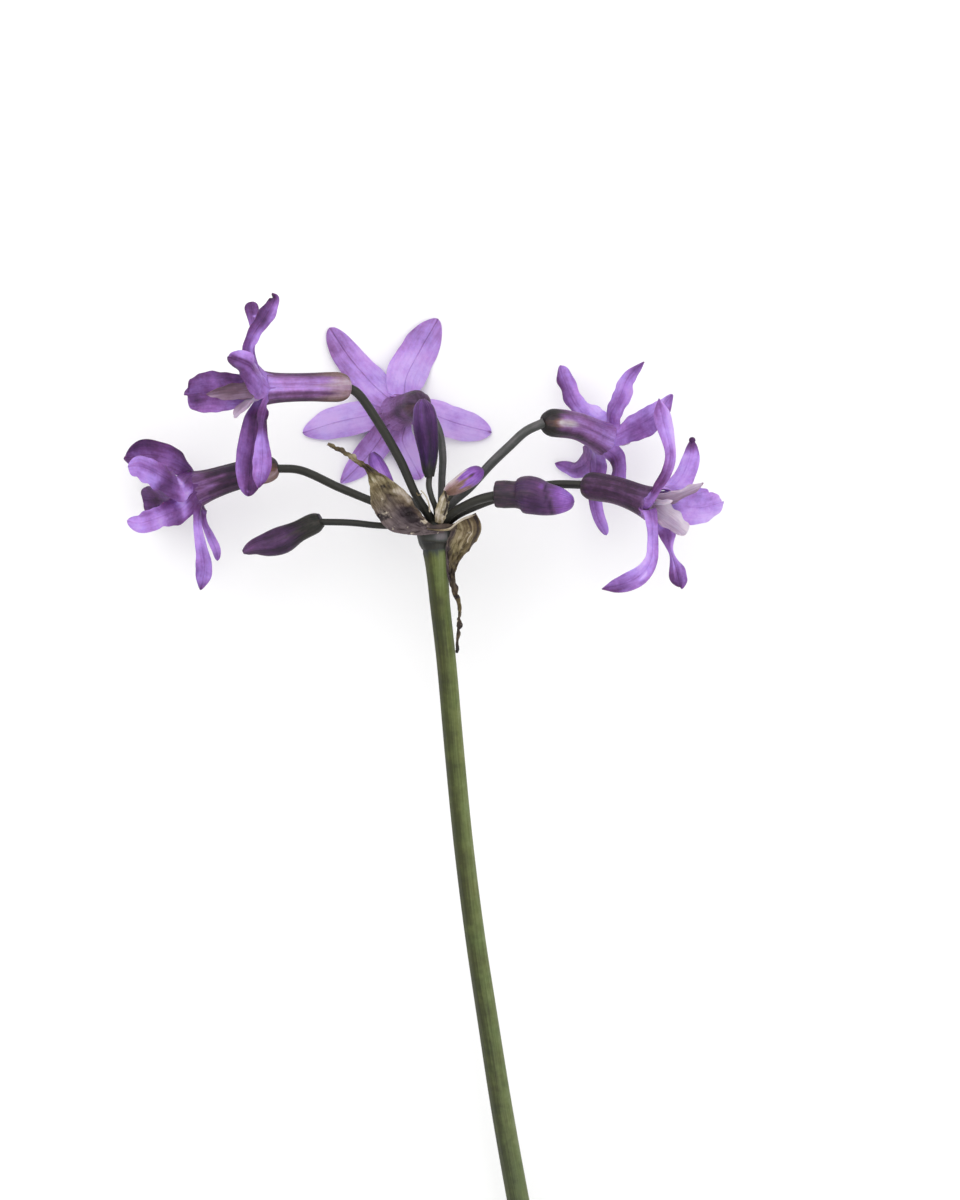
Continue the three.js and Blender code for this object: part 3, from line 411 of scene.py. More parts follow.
def picture_side(tangents, directions):
    """How far directions round a line point to its upper side, or for an upright line its right side."""
    over = unit(np.cross((0, 0, 1), tangents))
    over = over * np.where(over @ UPPER_SIDE < 0, -1, 1)[:, None]
    return np.einsum("ijk,ik->ij", directions, over)


def fan(angle, first, second):
    """Directions at angles round a line, at each of its stations, from first towards second."""
    return np.cos(angle)[None, :, None] * first[:, None] + np.sin(angle)[None, :, None] * second[:, None]


# Meshes

class Shape:
    """Vertices, faces and per-vertex numbers of one piece, gathered from several surfaces."""

    NUMBERS = ("along", "across", "shade", "foot", "tone", "rib", "cool")

    def __init__(self):
        self.points, self.faces, self.values, self.count = [], [], {}, 0

    def add(self, rings, **values):
        """A closed surface through rings of points, with both ends capped."""
        n, m = rings.shape[:2]
        index = np.arange(n * m).reshape(n, m) + self.count
        right = np.roll(index, -1, axis=1)
        quads = np.stack([index[:-1], right[:-1], right[1:], index[1:]], axis=-1).reshape(-1, 4)
        self.faces.extend(quads.tolist())
        self.faces.append(index[0][::-1].tolist())
        self.faces.append(index[-1].tolist())
        self.points.append(rings.reshape(-1, 3))
        for name in self.NUMBERS:
            full = np.broadcast_to(values.get(name, 0), (n, m)).astype(float)
            self.values.setdefault(name, []).append(full.reshape(-1))
        self.count += n * m

    def build(self, name, material, replaced):
        """The finished piece, in place of the solid node it replaces."""
        mesh = bpy.data.meshes.new(name)
        points = np.vstack(self.points) + HEAD_TO_ROW
        points[:, 2] = FLOOR_EASE * np.logaddexp(0, points[:, 2] / FLOOR_EASE)
        mesh.from_pydata((points * MM).tolist(), [], self.faces)
        for key, parts in self.values.items():
            layer = mesh.attributes.new(key, "FLOAT", "POINT")
            layer.data.foreach_set("value", np.concatenate(parts).astype(np.float32))
        mesh.shade_smooth()
        mesh.validate()
        mesh.materials.append(material)
        piece = bpy.data.objects.new(name, mesh)
        bpy.context.scene.collection.objects.link(piece)
        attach(piece, "root")
        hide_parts(replaced)


def carried(tangents):
    """Directions square to a line's tangents, carried along it without twist from one that points up."""
    out = [flattened((0, 0, 1), tangents[0])]
    for tangent in tangents[1:]:
        out.append(flattened(out[-1], tangent))
    return np.array(out)


# A foot's upper edge is ragged: height, count and phase of its waves. Around it the foot fades out.
FOOT_WAVES = ((0.25, 7, 1.3), (0.12, 17, 0))
FOOT_FADE = (0.55, 0.5)
STAIN_PALE = 3.5


def coat(look, shares, side):
    """Shade, foot and tone over a round body: side is how near its upper side."""
    s, v = shares[:, None], np.clip(side, -1, 1)
    # Side offsets: partly the body's own streaks and partly painted shade and painted highlight across it.
    streaks_and_side_shade = spread(look.get("streaks_and_side_shade", (0, 0)), (v + 1) / 2)
    shade = spread(look["shade"], shares)[:, None] + streaks_and_side_shade + marks(look.get("spots", ()), s, v)
    size, strength, soft = look.get("foot", 0), look.get("foot_strength", 1.0), look.get("foot_soft", 1.0)
    edge = size * (1 + sum(height * np.sin(count * v + phase) for height, count, phase in FOOT_WAVES))
    foot = 1 - smooth(s, edge * (1 - FOOT_FADE[0] * soft), edge * (1 + FOOT_FADE[1] * soft) + 1e-6)
    stains = marks(look.get("stains", ()), s, v)
    tone = spread(look.get("tones", (0, 0)), (v + 1) / 2)
    tone = tone + (1 - tone) * np.clip(stains * STAIN_PALE, 0, 1)
    foot = np.clip(np.maximum(foot * strength * (size > 0), stains), 0, 1)
    return {"shade": shade, "foot": foot, "tone": tone, "cool": look.get("cool", 0)}


# How much closer a rod's rings lie near its ends.
RINGS_EASE = 0.35


def rod(shape, points, look, *, sides, rings, lobes=0, lobe_depth=0.0, rib=0.0, even=False):
    """A round solid along points of x, y, z and radius, with soft lobes round it."""
    line = Line(points)
    shares = np.linspace(0, 1, rings)
    if not even:
        shares = (1 - RINGS_EASE) * shares + RINGS_EASE * (0.5 - 0.5 * np.cos(np.pi * shares))
    centre, tangents = line.at(shares), line.tangents(shares)
    up = carried(tangents)
    angle = np.arange(sides) / sides * 2 * math.pi
    radius = centre[:, 3:4] * (1 + lobe_depth * np.cos(lobes * angle)[None])
    directions = fan(angle, up, np.cross(up, tangents))
    rim = centre[:, None, :3] + radius[..., None] * directions
    seam = np.abs((angle * lobes / (2 * math.pi)) % 1 - 0.5) * 2 * math.pi / max(lobes, 1)
    around = seam if rib else (angle + math.pi) % (2 * math.pi) - math.pi
    shape.add(rim, along=(shares * line.length)[:, None], across=around[None] * centre[:, 3:4], rib=rib,
              **coat(look, shares, picture_side(tangents, directions)))


def mirrored(values):
    """Values over a blade's face, then the same back over its underside."""
    return np.concatenate([values, values[:, ::-1]], axis=1)


# A blade takes up its turn and its ripples over ROOT_SHARE of its length. A sunk root is curled like the
# tube, and wide enough to close its mouth for the first millimetres.
ROOT_SHARE = 0.22
ROOT_CUP = 0.27
FUNNEL = 1.12
FUNNEL_END = (0.5, 2.4)
TIP_POWER = 2.4
# The furrow along its middle, in millimetres and as a share of half its width, and the ribs beside it.
FURROW_DEPTH = 0.06
FURROW_WIDTH = 0.16
RIB_TURNS = 26
# How much its shade drifts at random, and how much painted shade and painted light follow its folds.
DRIFT = 0.07
FOLD_SHADE = 0.22


def half_widths(free, length, widths, tip, girth):
    """Half a blade's width along it, from its root to its round tip."""
    to_tip = np.clip((free - 1 + tip) / tip, 0, 1)
    rounding = np.sqrt(np.clip(1 - to_tip**TIP_POWER, 0.004, 1))
    funnel = FUNNEL * girth * (1 - smooth(free * length, *FUNNEL_END))
    return np.maximum(spread(widths, free) / 2, funnel) * rounding


def blade(shape, path, start, widths, turn, cup, shade, *, thick, edge, sunk=0.0, girth=0.0, ragged=0.0,
          wave=0.0, stations=56, columns=17, tip=0.14, notch=0.0, ribs=0.0, rib=0.3, edges=(0, 0),
          spots=(), root_shade=None, foot=None, crease=0.0, cool=0.0):
    """A thin blade along a path: its section curls by cup, its edges are thin, its tip round or notched."""
    line = Line(path)
    shares = np.linspace(0, 1, stations)
    shares = np.where(shares > 0.5, 1 - 2 * (1 - shares)**2, shares)
    sunk_share = sunk / line.length
    free = (shares - sunk_share) / (1 - sunk_share)
    centre, tangents = line.at(shares), line.tangents(shares)
    out = smooth(free, 0.0, ROOT_SHARE)
    angle = np.radians(spread(turn, free)) * out
    flat = flattened(start, tangents)
    side = flat * np.cos(angle)[:, None] + np.cross(tangents, flat) * np.sin(angle)[:, None]
    up = np.cross(tangents, side)
    half = half_widths(free, line.length, widths, tip, girth)
    bend = (ROOT_CUP * (1 - out) + cup * out) if sunk else cup + 0 * out
    u = np.sin(np.linspace(-1, 1, columns) * math.pi / 2)
    s, v = free[:, None], u[None]
    left = ripple(1.8 * s, 0 * v, 6)
    right = ripple(1.8 * s, 0 * v, 6)
    tear = ragged * np.where(v < 0, left, right)
    sideways = v * half[:, None] * (1 + tear * np.abs(v) * out[:, None])
    lift = bend[:, None] * v**2 * half[:, None]
    lift = lift + wave * ripple(s, v, 5) * (0.3 + np.abs(v)**1.5) * out[:, None]
    folds = ripple(2.6 * s, 2.6 * v, 5)
    lift = lift + crease * (0.3 - np.abs(folds)) * out[:, None]
    lift = lift + ribs * np.cos(v * RIB_TURNS) * (1 - np.abs(v))
    lift = lift - FURROW_DEPTH * np.exp(-(v / FURROW_WIDTH)**2)
    thickness = (edge + (thick - edge) * (1 - v**2)) / 2 * np.minimum(1, 0.25 + half[:, None])
    middle = centre[:, None, :3] + sideways[..., None] * side[:, None] + lift[..., None] * up[:, None]
    reach = notch * ripple(0 * s, 2.4 * v, 5) * smooth(s, 0.7, 1.0)
    middle = middle + reach[..., None] * tangents[:, None]
    run = np.gradient(sideways, axis=1)
    slope = np.gradient(lift, axis=1) / np.where(np.abs(run) < 1e-6, 1e-6, run)
    normal = unit(up[:, None] - slope[..., None] * side[:, None])
    top = middle + thickness[..., None] * normal
    under = middle - thickness[..., None] * normal
    rings = np.concatenate([top, under[:, ::-1]], axis=1)
    level = spread(shade, free)[:, None] + marks(spots, s, v)
    level = level + edges[0] * smooth(-v, 0.15, 0.8) + edges[1] * smooth(v, 0.15, 0.8)
    # Painted shade and light that follow the folds.
    level = level + DRIFT * ripple(0.8 * s, 1.2 * v, 4) + FOLD_SHADE * crease * folds
    if root_shade is not None:
        level = root_shade + (level - root_shade) * smooth(s, -0.02, 0.2)
    worn = 0 * s * v if foot is None else foot(s, v)
    tone = 0.5 + 0.5 * marks(spots, s, v)
    shape.add(rings, along=(shares * line.length)[:, None], across=mirrored(sideways),
              shade=mirrored(level), foot=mirrored(worn), tone=mirrored(tone), rib=rib, cool=cool)


# Blooms

# A tube's outer and inner wall: share of its length, and radius at girth 1. Six grooves run along it.
TUBE_OUTSIDE = [(0, 0.5), (0.012, 1), (0.045, 1.5), (0.12, 1.86), (0.25, 1.9), (0.45, 1.82), (0.65, 1.82),
                (0.82, 1.9), (0.93, 2.05), (1, 2.22)]
TUBE_INSIDE = [(0.995, 1.95), (0.96, 1.65), (0.85, 1.4), (0.6, 1.15), (0.42, 0.6)]
TUBE_SIDES = 72
GROOVE_DEPTH = 0.045
GROOVE_WIDTH = 0.3
# The tube's inner wall is painted paler by this much: painted light inside the throat, where it lies in
# shade.
THROAT_PAINTED_LIGHT = 0.4

# A petal's root in the tube: how deep it sinks, then radius and share of that depth up to the mouth.
SUNK = 1.7
ROOT = ((1.55, 1), (1.72, 0.5), (2.02, 0))
PETAL_THICK = 0.36
PETAL_EDGE = 0.12


def mouth_of(flower):
    line = Line(flower["tube"])
    centre = line.at([1.0])[0]
    axis = line.tangents([1.0])[0]
    up = flattened((0, 1, 0), axis)
    return centre, axis, up, np.cross(axis, up)


def outward(mouth, degrees):
    _, _, up, side = mouth
    return up * math.cos(math.radians(degrees)) + side * math.sin(math.radians(degrees))


def add_tube(shape, flower):
    line = Line(flower["tube"])
    outside = Line([(share * 10, radius, 0) for share, radius in TUBE_OUTSIDE], 8).samples[:, :2]
    profile = np.vstack([outside, [(share * 10, radius) for share, radius in TUBE_INSIDE]])
    shares, radii = np.clip(profile[:, 0] / 10, 0, 1), profile[:, 1]
    centre, tangents = line.at(shares)[:, :3], line.tangents(shares)
    _, _, up, _ = mouth_of(flower)
    above = flattened(up, tangents)
    angle = np.arange(TUBE_SIDES) / TUBE_SIDES * 2 * math.pi
    directions = fan(angle, above, np.cross(above, tangents))
    girth = flower["girth"][0] + (flower["girth"][1] - flower["girth"][0]) * shares
    between = np.abs((6 * angle / (2 * math.pi) - flower["tepals"][0]["at"] / 60) % 1 - 0.5) * 2
    groove = GROOVE_DEPTH * np.exp(-((1 - between) / GROOVE_WIDTH)**2)
    radius = (radii * girth)[:, None] * (1 - groove[None])
    rings = centre[:, None] + radius[..., None] * directions
    skin = coat(flower, shares, picture_side(tangents, directions))
    # Painted light: the inner wall is made paler where the throat lies in shade.
    skin["shade"][len(outside):] += THROAT_PAINTED_LIGHT
    shape.add(rings, along=(shares * line.length)[:, None], across=(1 - between)[None] * radius * 0.9,
              rib=flower["rib"], **skin)


def root_points(mouth, flower, degrees):
    """Where a lobe's sunk end follows the tube wall up to the mouth."""
    line = Line(flower["tube"])
    points = []
    for radius, depth in ROOT:
        share = [1 - depth * SUNK / line.length]
        direction = flattened(outward(mouth, degrees), line.tangents(share)[0])
        points.append(line.at(share)[0] + direction * radius * flower["girth"][1])
    return points


# What a tepal has unless its entry says otherwise. A knob is a small ball at its tip.
TEPAL = {"turn": (0, 0), "cup": 0.3, "ragged": 0.04, "wave": 0.16, "rib": 0.5, "notch": 0.06, "cool": 1.0,
         "knob": 0.0}
KNOB = ((-1, 0.3), (-0.6, 0.8), (0, 1), (0.6, 0.8), (0.95, 0.25))


def add_tepal(shape, mouth, flower, spec):
    look = {**TEPAL, "root_shade": flower["shade"][-1], **flower.get("common", {}), **spec}
    at, path, knob = look.pop("at"), look.pop("path"), look.pop("knob")
    blade(shape, [*root_points(mouth, flower, at), *path], outward(mouth, at + 90), thick=PETAL_THICK,
          edge=PETAL_EDGE, sunk=SUNK, girth=flower["girth"][1], **look)
    if knob:
        end = np.array(path[-1])
        ahead = unit(end - path[-2]) * knob
        rod(shape, [(*(end + ahead * place), knob * radius) for place, radius in KNOB],
            {"shade": (0.28, 0.2), "cool": 1.0}, sides=16, rings=12)


# The corona in each mouth: a sleeve, as place from the mouth and radius, and three fleshy lobes, each with
# its tip, shade, stoutness and width at the end. Where none are given, they stand evenly round the axis.
SLEEVE = ((-2.2, 1), (-1, 1), (0.3, 0.96))
LOBE_ANGLES = (60, 180, 300)
LOBE_SPREAD = 1.5
LOBE_SIZE = (0.8, 1.2)
LOBE_WIDTHS = (1.6, 2.3, 2.2, 1.8)
LOBE_ROOT = 0.6
LOBE_SUNK = 1.2
LOBE_BEND = 0.35


def add_corona(shape, flower):
    mouth = mouth_of(flower)
    centre, axis, _, _ = mouth
    lobes = flower.get("corona") or [
        (centre + axis * flower["corona_reach"] + outward(mouth, at) * LOBE_SPREAD,
         flower.get("corona_shade", 0.5), *LOBE_SIZE) for at in LOBE_ANGLES]
    # The sleeve is painted pale: painted light where it stands in the shaded throat.
    rod(shape, [(*(centre + axis * place), radius) for place, radius in SLEEVE], {"shade": (0.45, 0.6)},
        sides=36, rings=12)
    for tip, shade, girth, end in lobes:
        away = np.array(tip) - centre
        away = unit(away - axis * np.dot(away, axis))
        root = centre + away * LOBE_ROOT
        middle = root + (np.array(tip) - root) * 0.55 + axis * LOBE_BEND
        blade(shape, [root - axis * LOBE_SUNK, root, middle, tip], np.cross(axis, away),
              np.array([*LOBE_WIDTHS, end]) * girth, turn=(0, 0), cup=0.25,
              shade=[shade * 0.4, shade * 0.8, shade, shade, shade + 0.12], thick=0.42, edge=0.16,
              ragged=0.2, wave=0.2, tip=0.1, notch=0.4, stations=50, columns=15, rib=0.6,
              edges=(-0.14, 0.12))


# Papery spathe and its small trimmings

LEFT_VALVE = {
    "path": [(0.9, -0.8, 18.5), (-0.7, -0.6, 19.2), (-2.6, 0, 19.5), (-4.4, 1.1, 19.3), (-6, 3.2, 18.9),
             (-7.4, 5.5, 18.5), (-8.7, 7.1, 18.3), (-10.6, 8.4, 18.1), (-12.1, 9.4, 18.1),
             (-13.6, 10.2, 18.3)],
    "start": (0.3, 1, 0), "widths": [0.4, 1.4, 3.3, 4.9, 4.4, 2.9, 1, 0.38, 0.26, 0.4],
    "turn": (0, 0, 0, 0, 0, 0, 0, 60, 120, 60),
    "shade": [0.35, 0.35, 0.3, 0.4, 0.5, 0.55, 0.58, 0.35, 0.7, 0.3, 0.6],
    # The first spot is painted shade inside the valve's cupped hollow.
    "spots": [(0.27, 0.35, 0.08, 0.34, -0.9), (0.41, 0.8, 0.06, 0.25, 0.4), (0.4, -0.2, 0.04, 0.15, 0.25),
              (0.15, 0.7, 0.012, 0.12, 0.8), (0.175, 0.5, 0.012, 0.1, 0.7), (0.13, 0.45, 0.01, 0.1, 0.8),
              (0.47, 0.1, 0.05, 0.2, -0.2), (0.36, -0.75, 0.05, 0.2, 0.25)],
}
RIGHT_VALVE = {
    "path": [(3.2, 0.7, 17.9), (3.7, -0.5, 17.8), (3.1, -1.9, 17.5), (2.3, -3.6, 17.3), (1.9, -5.4, 16.9),
             (2, -7.6, 16.6), (2.7, -9.6, 16.5), (2.9, -11.8, 16.4), (2.6, -14, 16.3), (2.4, -16, 16.2)],
    "start": (1, 0.25, -0.25), "widths": [3.9, 3.9, 3, 1.6, 0.9, 0.55, 0.5, 0.45, 0.4, 0.2],
    "turn": (0, 0, 0, 0, 0, 50, 20, 90, 30, 60),
    "shade": [0.42, 0.46, 0.42, 0.35, 0.28, 0.25, 0.3, 0.5, 0.1, 0.35, 0.05],
    "spots": [(0.12, 0.1, 0.14, 0.04, 0.3), (0.14, 0.4, 0.14, 0.04, 0.35), (0.1, 0.25, 0.14, 0.05, -0.16),
              (0.16, -0.3, 0.14, 0.04, 0.25), (0.14, -0.12, 0.12, 0.05, -0.18), (0.1, 0.8, 0.12, 0.12, -0.25),
              (0.25, -0.8, 0.25, 0.14, -0.35)],
}
VALVE_CUP = -0.22
# The collar: its middle, height, how jagged it is, and radius and rise round its section.
COLLAR = {"middle": (-0.35, -0.75, 16.1), "height": 0.8, "jag": 0.2,
          "section": [(2.72, 0), (3.32, 0), (3.47, 0.5), (3.52, 1), (2.97, 1), (2.82, 0.5)]}
RIM = [(-1.2, -0.5, 19.6), (0.4, -0.65, 19.4), (1.5, -0.5, 19.2), (2.5, 0.3, 19), (3.5, 0.85, 18.7),
       (4.8, 1.3, 18.1)]
BRACT = [(0.2, 0.2, 18.5), (0.5, 1.5, 19.1), (0.9, 2.9, 19.7), (1.4, 4.2, 20)]
# Two hairs and a hook: radius, shade and points.
HAIRS = [(0.09, 0.9, [(-2, 4.3, 19.5), (-1.4, 3.6, 19.8), (-1, 2.6, 19.8), (-0.9, 1.6, 19.4)]),
         (0.08, 0.45, [(-2.6, 4.1, 19.6), (-2.3, 3.7, 19.8), (-1.9, 3.9, 19.7)]),
         (0.14, 0.15, [(1, 4.2, 20.4), (1.3, 2.6, 20.2), (0.9, 1.2, 19.4)])]


def add_valve(shape, valve, worn):
    blade(shape, valve["path"], valve["start"], valve["widths"], valve["turn"], VALVE_CUP, valve["shade"],
          spots=valve["spots"], thick=0.24, edge=0.14, wave=0.35, ragged=0.12, stations=140, columns=49,
          tip=0.03, ribs=0.07, rib=0.1, crease=0.9, foot=worn)


def add_collar(shape):
    x, y, z = COLLAR["middle"]
    angle = np.linspace(0, 2 * math.pi, 96, endpoint=False)
    jag = COLLAR["jag"] * ripple(angle[None] / 2, 0 * angle[None], 6)[0]
    rings = [np.stack([x + (radius + jag * rise) * np.cos(angle),
                       y + (COLLAR["height"] + jag) * rise,
                       z + (radius + jag * rise) * np.sin(angle)], axis=-1)
             for radius, rise in COLLAR["section"]]
    shape.add(np.array(rings), along=angle[None] * 3, across=0.4, shade=0.3, foot=0.5, tone=0.3)


def add_trimmings(shape):
    """Thin scraps between the flower stalks."""
    blade(shape, BRACT, (1, -0.3, 0.1), [1, 1.5, 1.3, 1], turn=(0, 20), cup=0.3,
          shade=[0.75, 0.85, 0.8, 0.6], thick=0.2, edge=0.1, ragged=0.15, wave=0.1, tip=0.05, stations=30,
          columns=15, crease=0.3)
    for radius, shade, path in HAIRS:
        rod(shape, [(*p, radius) for p in path], {"shade": (shade, shade)}, sides=8, rings=24)


# Materials

def linear(hexcode):
    channels = [int(hexcode[i:i + 2], 16) / 255 for i in (1, 3, 5)]
    return [c / 12.92 if c <= 0.04045 else ((c + 0.055) / 1.055)**2.4 for c in channels] + [1.0]


class Nodes:
    """Short calls for one material's nodes."""

    def __init__(self, name):
        self.material = bpy.data.materials.new(name)
        self.material.use_nodes = True
        self.tree = self.material.node_tree
        self.tree.nodes.clear()

    def new(self, kind, inputs, **settings):
        """A node with its settings, and with inputs that are plain values or come from other nodes."""
        node = self.tree.nodes.new("ShaderNode" + kind)
        for key, value in settings.items():
            setattr(node, key, value)
        for key, value in inputs.items():
            if isinstance(value, bpy.types.NodeSocket):
                self.tree.links.new(value, node.inputs[key])
            else:
                node.inputs[key].default_value = value
        return node.outputs

    def attribute(self, name):
        return self.new("Attribute", {}, attribute_name=name)["Fac"]

    def math(self, operation, a, b=0.0, c=0.0, clamp=False):
        return self.new("Math", {0: a, 1: b, 2: c}, operation=operation, use_clamp=clamp)[0]

    def times(self, a, b):
        return self.math("MULTIPLY", a, b)

    def swing(self, value, size):
        """A noise value turned about its middle and scaled."""
        return self.times(self.math("SUBTRACT", value, 0.5), size)

    def total(self, first, *others):
        for other in others:
            first = self.math("ADD", first, other)
        return first

    def noise(self, vector, scale, detail=3.0, roughness=0.55):
        return self.new("TexNoise", {"Vector": vector, "Scale": scale, "Detail": detail,
                                     "Roughness": roughness})["Fac"]

    def ramp(self, factor, stops):
        colour = self.new("ValToRGB", {"Fac": factor})["Color"]
        elements = colour.node.color_ramp.elements
        while len(elements) < len(stops):
            elements.new(0.5)
        for element, (position, hexcode) in zip(elements, stops):
            element.position = position
            element.color = linear(hexcode)
        return colour

    def mix(self, factor, a, b):
        return self.new("Mix", {0: factor, 6: a, 7: b}, data_type="RGBA")[2]

    def finish(self, surface):
        self.new("OutputMaterial", {"Surface": surface})
        return self.material


# Mottling of the skins in features per metre, and veins by a map of their own.
HUE_PATCHES = 300.0
BLOTCHES = 420.0
CRINKLES = 1100.0
GRAINS = 2800.0
VEIN_SCALE = 1.6
# Half width in millimetres and darkness of the middle line. Depths are in metres.
MIDLINE_WIDTH = 0.16
MIDLINE_DARK = -0.16
RELIEF_DEPTH = 0.00012
SCATTER_DEPTH = 0.0006
SHEEN = 0.28
# How far hues wander, and how far cool dark parts turn to blue and gain colour.
HUE_DRIFT = 0.07
COOL_TURN = -0.04
COOL_COLOUR = 0.3

FOOT_STOPS = [(0, "#191C18"), (0.25, "#3E3834"), (0.5, "#785A4C"), (0.75, "#AE9298"), (1, "#DCD4D2")]


def with_flecks(n, place, colour, flecks):
    """Colour with flecks laid over it: each has its noise scale, where it starts and ends, and its colour."""
    for scale, low, high, fleck in flecks:
        speck = n.noise(place, scale, 4.0, 0.6)
        spot = n.new("MapRange", {"Value": speck, "From Min": low, "From Max": high})["Result"]
        colour = n.mix(spot, colour, linear(fleck))
    return colour


def cooled(n, place, level, colour):
    """Colour with its hue wandering a little, and its dark parts turned towards blue where cool is set."""
    cold = n.times(n.attribute("cool"), n.math("SUBTRACT", 1.0, level))
    hue = n.total(n.swing(n.noise(place, HUE_PATCHES), HUE_DRIFT), n.times(cold, COOL_TURN), 0.5)
    depth = n.math("MULTIPLY_ADD", cold, COOL_COLOUR, 1.0)
    return n.new("HueSaturation", {"Color": colour, "Hue": hue, "Saturation": depth})[0]


def lit(n, colour, roughness, height, bump, subsurface, translucent):
    """The finished surface: relief, a soft sheen, and light that passes through where it is thin."""
    relief = n.new("Bump", {"Strength": bump, "Distance": RELIEF_DEPTH, "Height": height})["Normal"]
    skin = n.new("BsdfPrincipled", {"Base Color": colour, "Roughness": roughness, "Normal": relief,
                                    "Specular IOR Level": SHEEN, "Subsurface Weight": subsurface,
                                    "Subsurface Scale": SCATTER_DEPTH})[0]
    if not translucent:
        return skin
    glow = n.new("BsdfTranslucent", {"Color": colour})[0]
    return n.new("MixShader", {0: translucent, 1: skin, 2: glow})[0]


def living_surface(name, stops, foot_stops=FOOT_STOPS, *, roughness, veins, mottle, bump, translucent=0.0,
                   vein_scale=(2.6, 0.22), subsurface=0.0, flecks=()):
    """Skin of a plant: a ramp read by shade, with veins along the piece, mottling and a dark middle line."""
    n = Nodes(name)
    along, across = n.attribute("along"), n.attribute("across")
    place = n.new("TexCoord", {})["Object"]
    where = n.new("CombineXYZ", {0: n.times(across, vein_scale[0]), 1: n.times(along, vein_scale[1])})[0]
    vein = n.noise(where, VEIN_SCALE, 4.0, 0.58)
    blotch = n.noise(place, BLOTCHES)
    crinkle = n.noise(place, CRINKLES)
    grain = n.noise(place, GRAINS, 2.0)
    line = n.math("SUBTRACT", 1.0, n.math("DIVIDE", n.math("ABSOLUTE", across), MIDLINE_WIDTH), clamp=True)
    line = n.times(n.times(line, line), n.attribute("rib"))
    level = n.total(n.attribute("shade"), n.swing(vein, veins), n.swing(blotch, mottle),
                    n.swing(crinkle, mottle * 0.5), n.swing(grain, mottle * 0.3),
                    n.times(line, MIDLINE_DARK))
    colour = cooled(n, place, level, n.ramp(level, stops))
    foot_level = n.total(n.attribute("tone"), n.swing(vein, 0.5), n.swing(crinkle, 0.3))
    foot = n.total(n.attribute("foot"), n.swing(vein, 0.2))
    foot = n.math("MULTIPLY", foot, n.math("GREATER_THAN", n.attribute("foot"), 0.001), clamp=True)
    colour = with_flecks(n, place, n.mix(foot, colour, n.ramp(foot_level, foot_stops)), flecks)
    height = n.total(vein, n.times(grain, 0.35), n.times(crinkle, 0.9), n.times(line, -0.8))
    dullness = n.total(n.swing(blotch, 0.25), roughness)
    return n.finish(lit(n, colour, dullness, height, bump, subsurface, translucent))


PETAL_STOPS = [(0, "#25162A"), (0.2, "#482B4A"), (0.4, "#744C7C"), (0.6, "#9E72B4"), (0.8, "#C49AE8"),
               (1, "#D8B8F8")]
BUD_STOPS = [(0, "#1E1422"), (0.2, "#402648"), (0.4, "#5E3E68"), (0.6, "#8254A0"), (0.8, "#A878CE"),
             (1, "#CCA8EA")]
CORONA_STOPS = [(0, "#3A2432"), (0.3, "#705468"), (0.5, "#937892"), (0.75, "#BCA6C2"), (1, "#E0D4E2")]
STALK_STOPS = [(0, "#15171A"), (0.3, "#302F29"), (0.6, "#464846"), (1, "#82797E")]
SCAPE_STOPS = [(0, "#24281C"), (0.25, "#3C4224"), (0.5, "#5E6A3C"), (0.75, "#828C60"), (1, "#B0B68E")]
SCAPE_TOP_STOPS = [(0, "#1E2226"), (0.5, "#343A3C"), (1, "#5C6A5C")]
PAPER_STOPS = [(0, "#201818"), (0.25, "#463A30"), (0.5, "#746648"), (0.75, "#A09274"), (1, "#DAD0C0")]
PAPER_WORN_STOPS = [(0, "#241E20"), (0.35, "#483C42"), (0.7, "#7A6C6C"), (1, "#B8ACA4")]

petal = living_surface("petal_skin", PETAL_STOPS, roughness=0.5, veins=0.3, mottle=0.38, bump=0.8,
                       translucent=0.18, vein_scale=(1.7, 0.2), subsurface=0.1)
bud_skin = living_surface("bud_skin", BUD_STOPS, roughness=0.48, veins=0.34, mottle=0.34, bump=0.6,
                          vein_scale=(1.8, 0.2), subsurface=0.05)
corona_skin = living_surface("corona_skin", CORONA_STOPS, roughness=0.5, veins=0.4, mottle=0.25,
                             bump=0.5, translucent=0.15, subsurface=0.1)
stalk_skin = living_surface("flower_stalk_skin", STALK_STOPS, roughness=0.45, veins=0.3, mottle=0.25,
                            bump=0.4)
scape_skin = living_surface("stalk_skin", SCAPE_STOPS, SCAPE_TOP_STOPS, roughness=0.45, veins=0.5,
                            mottle=0.36, bump=0.35, vein_scale=(3.0, 0.08))
paper = living_surface("papery_skin", PAPER_STOPS, PAPER_WORN_STOPS, roughness=0.6, veins=0.9, mottle=0.7,
                       bump=1.0, translucent=0.1, vein_scale=(2.8, 0.14),
                       flecks=[(380.0, 0.42, 0.34, "#30282A"), (900.0, 0.64, 0.7, "#C8BCAA")])

# Pieces

scape = Shape()
# Its side offsets make it darker on its left and paler on its right: partly the stalk's own colour, partly
# painted shade.
rod(scape, [(x, y, z, radius * SCAPE_GIRTH) for x, y, z, radius in SCAPE],
    {"shade": [0.38, 0.42, 0.41, 0.4, 0.38, 0.35, 0.33, 0.31], "cool": 0.4,
     "streaks_and_side_shade": [-0.17, -0.19, -0.17, -0.1, -0.01, 0.06, 0.12, 0.17], "foot": 0.007, "tones": [0.2, 0.4],
     "spots": [(0.02, 0.1, 0.02, 0.5, 0.16), (0.066, 0, 0.022, 2, -0.1)],
     "stains": [(1, 0.4, 0.5, 1.6, 0.5)]},
    sides=48, rings=280, lobes=10, lobe_depth=0.012, even=True)
scape.build("stalk", scape_skin, "scape")

